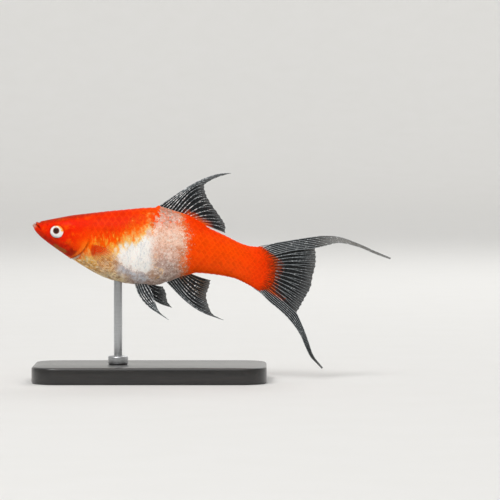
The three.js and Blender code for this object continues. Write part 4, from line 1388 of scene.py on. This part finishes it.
def near_root(reach, first=-0.3):
    """A mask that covers the fin up to a share of its rays, from one column on."""
    def mask(g, where, column, share):
        uneven = g.times(g.sway(where, 1.2 * MM), 0.3)
        inside = g.smooth(g.add(share, uneven), reach, reach * 0.4)
        return g.times(inside, g.smooth(column, first, first + 0.15))

    return mask


def height_points(height, first, last, offset):
    """Places along the back or the belly, set off from it up or down."""
    return [(x, float(height(x)) + offset) for x in np.linspace(first, last, 7)]


def dress(nodes, rays_piece, rays_material, web_piece, web_material):
    """Gives a fin's two pieces their materials and their places in the table."""
    for piece, look in ((rays_piece, rays_material), (web_piece, web_material)):
        piece.data.materials.clear()
        piece.data.materials.append(look)
        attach(piece, "root")
    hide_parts(*nodes)


def over_back(g, where, column, share):
    """The mask of the orange that climbs from the back into the last rays."""
    _, x, z = g.side_view(where)
    back = g.curve(x, [(6.0, 51.3), (11.6, 49.4), (16.8, 46.5), (23.3, 43.4)])
    streaks = g.less(g.streaks(column, 50.0, share, 5.0), 0.5)
    height = g.add(g.less(z, back), g.times(streaks, 4.0))
    return g.times(g.smooth(height, 2.4, 0.4), g.band(x, 9.4, 12.4, 16.6, 19.6))


dorsal_root = height_points(back_height, *DORSAL_ROOT, 0.1)
dorsal = Fin(dorsal_root, DORSAL_LEAD, DORSAL_EDGE, DORSAL_TRAIL, bend=-1.2)
dress(
    ["dorsal_fin"],
    rays("dorsal_rays", [dorsal], [16], [(0.5,)], seed=31, crowd=0.34, plain=6),
    ray_look(
        "dorsal_ray", colour(236, 112, 34), over_back, flecked_with_glints=0.9,
        sparkle=((11.5, 52.8), (8.5, 5.5)),
    ),
    web("dorsal_web", [dorsal], [16]),
    web_look("dorsal_membrane", colour(196, 66, 12), over_back),
)

# Anal fin: eleven jointed rays in a smoky web that stand along the belly behind the vent. The
# first ones are long and make a point, and the short ones behind are tinged brown at the root.
ANAL_ROOT = (5.1, 12.1)
ANAL_LEAD = [(7.8, 26.8), (9.9, 24.7), (13.1, 22.1), (16.3, 20.3)]
ANAL_EDGE = [(22.1, 18.2), (18.8, 20.0), (17.5, 22.8), (16.9, 25.5), (17.7, 28.0), (18.2, 30.1)]
ANAL_TRAIL = [(15.2, 31.0)]
anal_root = height_points(belly_height, *ANAL_ROOT, -0.1)
anal = Fin(anal_root, ANAL_LEAD, ANAL_EDGE, ANAL_TRAIL, bend=0.9)
dress(
    ["anal_fin"],
    rays("anal_rays", [anal], [11], [(0.45,)], seed=47, plain=4),
    ray_look(
        "anal_ray", colour(118, 98, 80), near_root(2.4, 0.42), flecked_with_glints=0.8,
        sparkle=((12.2, 28.0), (3.2, 4.0)),
    ),
    web("anal_web", [anal], [11]),
    web_look("anal_membrane", colour(120, 50, 24), near_root(0.1, 0.45)),
)

# Tail fin: a fan of forked rays between two lobes that run out in long tips. The orange of the
# stalk runs a little way out along the rays, and a fringe of short rays stands before each lobe.
TAIL_TURN = [(33.9, 40.5), (36.75, 37.5), (37.5, 33.9), (36.6, 30.0), (33.3, 26.6)]
TAIL_SINK = 1.9
UPPER_SHARE, LOWER_SHARE = 0.18, 0.88
UPPER_LEAD = [
    (36, 40.9), (42.1, 42.1), (49.2, 43.2), (52.1, 43.5), (56.7, 43.2), (62.5, 41.2), (67.6, 38.9),
]
UPPER_TRAIL = [(42, 39.1), (49.6, 40.0), (53.6, 40.9), (56.7, 41.5), (62.5, 40.3), (67.6, 38.2)]
UPPER_TIP = [(72.3, 36.9), (72.1, 36.6)]
FAN_LEAD = [(42, 39.0)]
FAN_EDGE = [
    (49.6, 39.9), (49.8, 37.4), (49.7, 34.8), (48.9, 31.5), (48.2, 27.9), (46.6, 25.0),
    (45.3, 22.6), (43.95, 20.3),
]
FAN_TRAIL = [(39.2, 24.6), (42.1, 21.95)]
LOWER_LEAD = [
    (39.2, 24.5), (42.1, 21.9), (43.95, 20.2), (44.95, 18.2), (46.3, 15.1), (47.6, 11.4),
    (49.1, 7.4),
]
LOWER_TRAIL = [
    (35.6, 24.1), (39.2, 21.1), (41.5, 18.8), (43.4, 16.5), (45.3, 13.5), (46.8, 10),
    (48.2, 7.2), (50, 5.2),
]
LOWER_TIP = [(51.95, 3.75), (51.65, 3.5)]
LOWER_FRINGE = {
    "root": [(29.3, 29.5), (33.2, 27.6)],
    "lead": [(31.2, 27.85)],
    "edge": [(33.2, 26.45), (36.6, 23.9)],
    "trail": [(34.6, 25.7)],
}
UPPER_FRINGE = {
    "root": [(31.4, 39.6), (34.6, 39.3)],
    "lead": [(33.0, 40.4)],
    "edge": [(35.4, 40.85), (38.6, 41.2)],
    "trail": [(36.6, 40.3)],
}
# How far the orange reaches out of the stalk, given as X over Z
ORANGE_EDGE = [
    (20.0, 40.4), (24.3, 39.6), (26.0, 38.4), (28.5, 37.4), (31.0, 38.0), (35.0, 39.1),
    (38.0, 37.4), (40.2, 34.4), (44.0, 32.0),
]


def tail_root(first, last):
    """Part of the stalk's edge, drawn in under the skin."""
    edge = Line(TAIL_TURN)
    shares = np.linspace(first, last, 9)
    places = edge.by_length(shares)
    before, after = np.maximum(shares - 0.01, 0), np.minimum(shares + 0.01, 1)
    down = edge.by_length(after) - edge.by_length(before)
    down /= np.linalg.norm(down, axis=1, keepdims=True)
    return [(x + TAIL_SINK * dz, z - TAIL_SINK * dx) for (x, z), (dx, dz) in zip(places, down)]


def behind_stalk(g, where, column, share):
    """The mask of the orange that runs out of the stalk in streaks."""
    _, x, z = g.side_view(where)
    streaks = g.less(g.streaks(column, 70.0, share, 6.0), 0.5)
    flecks = g.sway(where, 0.4 * MM, 1.0)
    ahead = g.less(g.curve(z, ORANGE_EDGE), x)
    ahead = g.add(ahead, g.times(streaks, 8.0), g.times(flecks, 5.0))
    above = g.less(z, g.less(48.0, g.times(x, 0.6)))
    under = g.less(g.less(65.7, g.times(x, 0.75)), z)
    near_stalk = g.times(g.smooth(above, -0.4, 0.6), g.smooth(under, -0.5, 0.5))
    return g.times(g.smooth(ahead, -1.2, 1.4), near_stalk)


upper_lobe = Fin(tail_root(0.0, UPPER_SHARE), UPPER_LEAD, UPPER_TIP, UPPER_TRAIL, bend=-1.6)
fan = Fin(tail_root(UPPER_SHARE, LOWER_SHARE), FAN_LEAD, FAN_EDGE, FAN_TRAIL, bend=0.6)
lower_lobe = Fin(tail_root(LOWER_SHARE, 1.0), LOWER_LEAD, LOWER_TIP, LOWER_TRAIL, bend=1.5)
tail_parts = [upper_lobe, fan, lower_lobe]
fringes = [Fin(**LOWER_FRINGE, bend=0.1), Fin(**UPPER_FRINGE, bend=0.1)]
dress(
    ["caudal_fin_upper_lobe", "caudal_fin_fan", "caudal_fin_lower_lobe"],
    rays(
        "caudal_rays", tail_parts + fringes, [7, 14, 6, 5, 5], [(), (0.36,), (), (), ()],
        seed=59, root=0.12, tip=0.08, crowd=0.2,
    ),
    ray_look("caudal_ray", colour(212, 88, 20), behind_stalk, grey=colour(136, 141, 144)),
    web("caudal_web", tail_parts, [7, 14, 6]),
    web_look(
        "caudal_membrane", colour(116, 40, 8), behind_stalk, veil=colour(30, 33, 35), thin=0.7,
        far={"from": 47.0, "to": 58.0, "alpha": 0.42, "shade": colour(96, 88, 74)},
    ),
)

# Pectoral fins: clear, amber fans of eleven rays that fork twice, rooted on the shoulders behind
# the gill covers and held a little off the side.
PECTORAL = {"x": -16.6, "z": 39.2, "inset": 0.15, "spread": 0.4, "tuck": 0.2}
# The fan's four lines, from its place on the shoulder
PECTORAL_ROOT = [(-1.1, 1.7), (-1.21, 0), (-1.1, -1.7)]
PECTORAL_LEAD = [(1.5, 1.7), (5, 1.0)]
PECTORAL_EDGE = [(8.2, -1.2), (8.7, -3.6), (7.3, -5.8), (5.0, -6.5), (3.0, -6.1)]
PECTORAL_TRAIL = [(0.8, -3.0)]


def swing(spread, splay, x, y, z):
    """Turns a fin drawn in the side view about its own place: out from the tail end, then out
    from below, and sets it off to one side of the fish."""
    def pose(places):
        px, py, pz = places[..., 0] - x, places[..., 1], places[..., 2] - z
        qx = px * math.cos(spread) - py * math.sin(spread)
        qy = px * math.sin(spread) + py * math.cos(spread)
        ry = qy * math.cos(splay) - pz * math.sin(splay)
        rz = qy * math.sin(splay) + pz * math.cos(splay)
        return np.stack([qx + x, ry + y, rz + z], -1)

    return pose


def pectoral(side):
    """The pectoral fin of one side."""
    x, z = PECTORAL["x"], PECTORAL["z"]
    y = side * (side_at(x, z) - PECTORAL["inset"])
    lines = (PECTORAL_ROOT, PECTORAL_LEAD, PECTORAL_EDGE, PECTORAL_TRAIL)
    placed = [[(x + dx, z + dz) for dx, dz in line] for line in lines]
    pose = swing(side * PECTORAL["spread"], -side * PECTORAL["tuck"], x, y, z)
    return Fin(*placed, bend=side * 0.5, pose=pose)


def upper_half(g, where, column, share):
    """The mask of the red that runs out from the root, furthest along the upper rays."""
    reach = g.smooth(column, 0.0, 0.8, 0.84, 0.3)
    return g.smooth(g.less(share, reach), 0.0, -0.45)


pectoral_ray = ray_look(
    "pectoral_ray", colour(236, 58, 4), upper_half, grey=colour(236, 150, 66),
    fleck_glint=colour(250, 214, 150), clear=(0.5, 0.16),
)
pectoral_web = web_look(
    "pectoral_membrane", colour(244, 80, 8), upper_half, smoke=colour(236, 150, 80),
    veil=colour(240, 176, 110), thick=0.1, thin=0.02, dense=0.42,
)
for name, side, seed in (("pectoral_left", -1, 61), ("pectoral_right", 1, 67)):
    fin = pectoral(side)
    dress(
        [name.replace("_", "_fin_")],
        rays(name + "_rays", [fin], [11], [(0.42, 0.7)], seed, root=0.075, tip=0.02),
        pectoral_ray,
        web(name + "_web", [fin], [11]),
        pectoral_web,
    )

# Pelvic fins: two narrow fans of six rays under the belly, the left one folded down and the
# right one spread back.
PELVIC = {"z": 29.6, "y": 1.7, "splay": 0.33}
PELVIC_LEFT = {
    "root": [(-4.7, 29.9), (-1.5, 29.9)],
    "lead": [(-2.9, 25.2), (-0.1, 21.9), (2.6, 20.0)],
    "edge": [(5.7, 17.9), (2.9, 20.4), (1.6, 23.3)],
    "trail": [(0.4, 26.8)],
}
PELVIC_RIGHT = {
    "root": [(-3.7, 29.9), (-0.4, 29.9)],
    "lead": [(-0.9, 25.4), (2.7, 22.7)],
    "edge": [(6.5, 21.2), (5.2, 23.1), (4.7, 26.1), (3.9, 27.9)],
    "trail": [(1.8, 28.4)],
}
pelvic_ray = ray_look(
    "pelvic_ray", colour(168, 166, 164), near_root(0.12), flecked_with_glints=0.9,
    sparkle=((-0.5, 25.6), (3.6, 3.4)),
)
pelvic_web = web_look("pelvic_membrane", colour(110, 108, 106), near_root(0.08))
pelvic_fins = (("pelvic_left", -1, PELVIC_LEFT, 71), ("pelvic_right", 1, PELVIC_RIGHT, 73))
for name, side, lines, seed in pelvic_fins:
    pose = swing(0, side * PELVIC["splay"], 0, side * PELVIC["y"], PELVIC["z"])
    fin = Fin(**lines, bend=side * 0.4, pose=pose)
    dress(
        [name.replace("_", "_fin_")],
        rays(name + "_rays", [fin], [6], [(0.5, 0.78)], seed, root=0.15),
        pelvic_ray,
        web(name + "_web", [fin], [6]),
        pelvic_web,
    )

# Stand base: a flat block of wood with rounded corners and eased edges, in black satin lacquer.
# It lies on the table by its own weight and carries the collar.
BASE_LENGTH, BASE_WIDTH, BASE_HEIGHT = 70, 38, 5
BASE_CORNER = 8
BASE_EASE = 0.7


def ease_edges(piece, width):
    """Rounds the sharp edges of a piece a little."""
    ease = piece.modifiers.new("eased_edges", "BEVEL")
    ease.width = width * MM
    ease.segments = 4
    ease.limit_method = "ANGLE"
    ease.angle_limit = math.radians(60)
    bpy.ops.object.modifier_apply(modifier=ease.name)
    bpy.ops.object.shade_smooth_by_angle(angle=math.radians(35))


bpy.ops.object.select_all(action="DESELECT")
bpy.ops.mesh.primitive_cube_add(size=1, location=(0, 0, BASE_HEIGHT / 2 * MM))
base = bpy.context.object
base.name = "stand_plate"
base.scale = (BASE_LENGTH * MM, BASE_WIDTH * MM, BASE_HEIGHT * MM)
bpy.ops.object.transform_apply(location=True, rotation=True, scale=True)
bpy.ops.object.mode_set(mode="EDIT")
bpy.ops.mesh.select_mode(type="EDGE")
bpy.ops.mesh.select_all(action="DESELECT")
bpy.ops.object.mode_set(mode="OBJECT")
for edge in base.data.edges:
    a, b = (base.data.vertices[i].co for i in edge.vertices)
    edge.select = abs(a.z - b.z) > 0.5 * BASE_HEIGHT * MM
bpy.ops.object.mode_set(mode="EDIT")
bpy.ops.mesh.bevel(offset=BASE_CORNER * MM, segments=14, affect="EDGES")
bpy.ops.object.mode_set(mode="OBJECT")
ease_edges(base, BASE_EASE)

lacquer, g, where = new_look("black_lacquered_wood")
along_grain = g.node("Mapping", {"Vector": where, "Scale": (60.0, 900.0, 900.0)})
grain = g.noise(along_grain, 1.0, 4.0, 0.6)
finish_look(
    lacquer, g, Base_Color=g.mix(g.smooth(grain, 0.3, 0.8), colour(22, 21, 21), colour(38, 35, 33)),
    Roughness=g.add(0.26, g.times(grain, 0.14)), Coat_Weight=0.5, Coat_Roughness=0.12,
    Normal=g.bump(grain, 0.15, 0.05),
)
base.data.materials.append(lacquer)
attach(base, "root")
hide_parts("stand_base")

# Stand collar and rod: turned steel, brushed round its axis. The collar is screwed to the base,
# and the rod stands in it and runs up into the belly.
ROD_X, ROD_RADIUS, ROD_TOP = -9.6, 1.25, 31.2
ROD_EASE = 0.1
COLLAR_RADIUS, COLLAR_HEIGHT = 3.0, 2.5
COLLAR_EASE = 0.5


def turned(name, radius, top, ease):
    """A turned steel piece that stands on the base about the rod's axis, with eased ends."""
    bpy.ops.object.select_all(action="DESELECT")
    bpy.ops.mesh.primitive_cylinder_add(
        vertices=96, radius=radius * MM, depth=(top - BASE_HEIGHT) * MM,
        location=(ROD_X * MM, 0, (BASE_HEIGHT + top) / 2 * MM),
    )
    piece = bpy.context.object
    piece.name = name
    bpy.ops.object.transform_apply(location=True, rotation=True, scale=True)
    ease_edges(piece, ease)
    return piece


steel, g, where = new_look("brushed_steel")
round_axis = g.node("Mapping", {"Vector": where, "Scale": (300.0, 300.0, 9000.0)})
turning = g.noise(round_axis, 1.0, 3.0, 0.7)
finish_look(
    steel, g, Base_Color=g.mix(turning, colour(168, 170, 173), colour(206, 208, 210)),
    Metallic=1.0, Roughness=g.add(0.22, g.times(turning, 0.16)), Normal=g.bump(turning, 0.2, 0.02),
)
collar = turned("stand_ring", COLLAR_RADIUS, BASE_HEIGHT + COLLAR_HEIGHT, COLLAR_EASE)
rod = turned("stand_pin", ROD_RADIUS, ROD_TOP, ROD_EASE)
for piece, node in ((collar, "stand_collar"), (rod, "stand_rod")):
    piece.data.materials.append(steel)
    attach(piece, "root")
    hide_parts(node)

# Studio: a pale floor that sweeps up all round in one curve, soft lamps, and a long lens at the
# fish's left side, a little above its height. Its lengths are in metres.
FLOOR_RADIUS = 2.5
SWEEP_RADIUS, SWEEP_STEPS = 0.9, 12
WALL_HEIGHT = 1.6
LAMP_AIM = (0.01, 0, 0.04)
LAMP_WIDTH = 0.5
CAMERA_AIM = (0.03, 0, 0.0393)
CAMERA_DISTANCE = 1.1
CAMERA_ELEVATION = 2.0
FRAME_WIDTH = 0.15
SENSOR_MM = 36.0


def floor_sweep():
    """A disc whose rim curves up to a wall."""
    bpy.ops.object.select_all(action="DESELECT")
    bpy.ops.mesh.primitive_circle_add(vertices=128, radius=FLOOR_RADIUS, fill_type="NGON")
    floor = bpy.context.object
    floor.name = "studio_floor"
    bpy.ops.object.mode_set(mode="EDIT")
    bpy.ops.mesh.select_mode(type="EDGE")
    bpy.ops.mesh.select_all(action="SELECT")
    bpy.ops.mesh.region_to_loop()
    radius, height = FLOOR_RADIUS, 0.0
    for step in range(1, SWEEP_STEPS + 1):
        angle = step / SWEEP_STEPS * math.pi / 2
        new_radius = FLOOR_RADIUS + SWEEP_RADIUS * math.sin(angle)
        new_height = SWEEP_RADIUS * (1 - math.cos(angle))
        raised = {"value": (0, 0, new_height - height)}
        bpy.ops.mesh.extrude_region_move(TRANSFORM_OT_translate=raised)
        ratio = new_radius / radius
        bpy.ops.transform.resize(value=(ratio, ratio, 1), center_override=(0, 0, 0))
        radius, height = new_radius, new_height
    bpy.ops.mesh.extrude_region_move(TRANSFORM_OT_translate={"value": (0, 0, WALL_HEIGHT)})
    bpy.ops.object.mode_set(mode="OBJECT")
    bpy.ops.object.shade_smooth_by_angle(angle=math.radians(40))
    return floor


def soft_lamp(name, place, power):
    """A round lamp aimed at the fish."""
    light = bpy.data.lights.new(name, "AREA")
    light.shape = "DISK"
    light.size = LAMP_WIDTH
    light.energy = power
    lamp = bpy.data.objects.new(name, light)
    bpy.context.collection.objects.link(lamp)
    lamp.location = place
    away = np.array(place) - np.array(LAMP_AIM)
    lamp.rotation_mode = "QUATERNION"
    lamp.rotation_quaternion = Vector(away).to_track_quat("Z", "Y")


floor = floor_sweep()
paper, g, where = new_look("studio_paper")
fleece = g.mix(g.noise(where, 0.02), colour(226, 225, 222), colour(229, 228, 226))
finish_look(paper, g, Base_Color=fleece, Roughness=0.9)
floor.data.materials.append(paper)

soft_lamp("key_lamp", (-0.45, -0.8, 1.0), 6.0)
soft_lamp("rim_lamp", (0.3, 0.8, 0.7), 2.2)
sun = bpy.data.lights.new("ceiling_light", "SUN")
sun.energy = 1.15
sun.angle = math.radians(60)
ceiling = bpy.data.objects.new("ceiling_light", sun)
bpy.context.collection.objects.link(ceiling)
ceiling.rotation_euler = (math.radians(46), 0, math.radians(-14))
world = bpy.data.worlds.new("studio_air")
bpy.context.scene.world = world
world.use_nodes = True
air = world.node_tree.nodes["Background"].inputs
air["Color"].default_value = (1, 1, 1, 1)
air["Strength"].default_value = 0.57
bpy.context.scene.view_settings.view_transform = "Standard"

lens = bpy.data.cameras.new("photo_camera")
lens.sensor_width = SENSOR_MM
lens.lens = SENSOR_MM * CAMERA_DISTANCE / FRAME_WIDTH
lens.clip_start, lens.clip_end = 0.01, 20
camera = bpy.data.objects.new("photo_camera", lens)
bpy.context.collection.objects.link(camera)
elevation = math.radians(CAMERA_ELEVATION)
back_off = np.array([0, -math.cos(elevation), math.sin(elevation)])
camera.location = np.array(CAMERA_AIM) + CAMERA_DISTANCE * back_off
camera.rotation_mode = "QUATERNION"
camera.rotation_quaternion = Vector(-back_off).to_track_quat("-Z", "Y")
bpy.context.scene.camera = camera
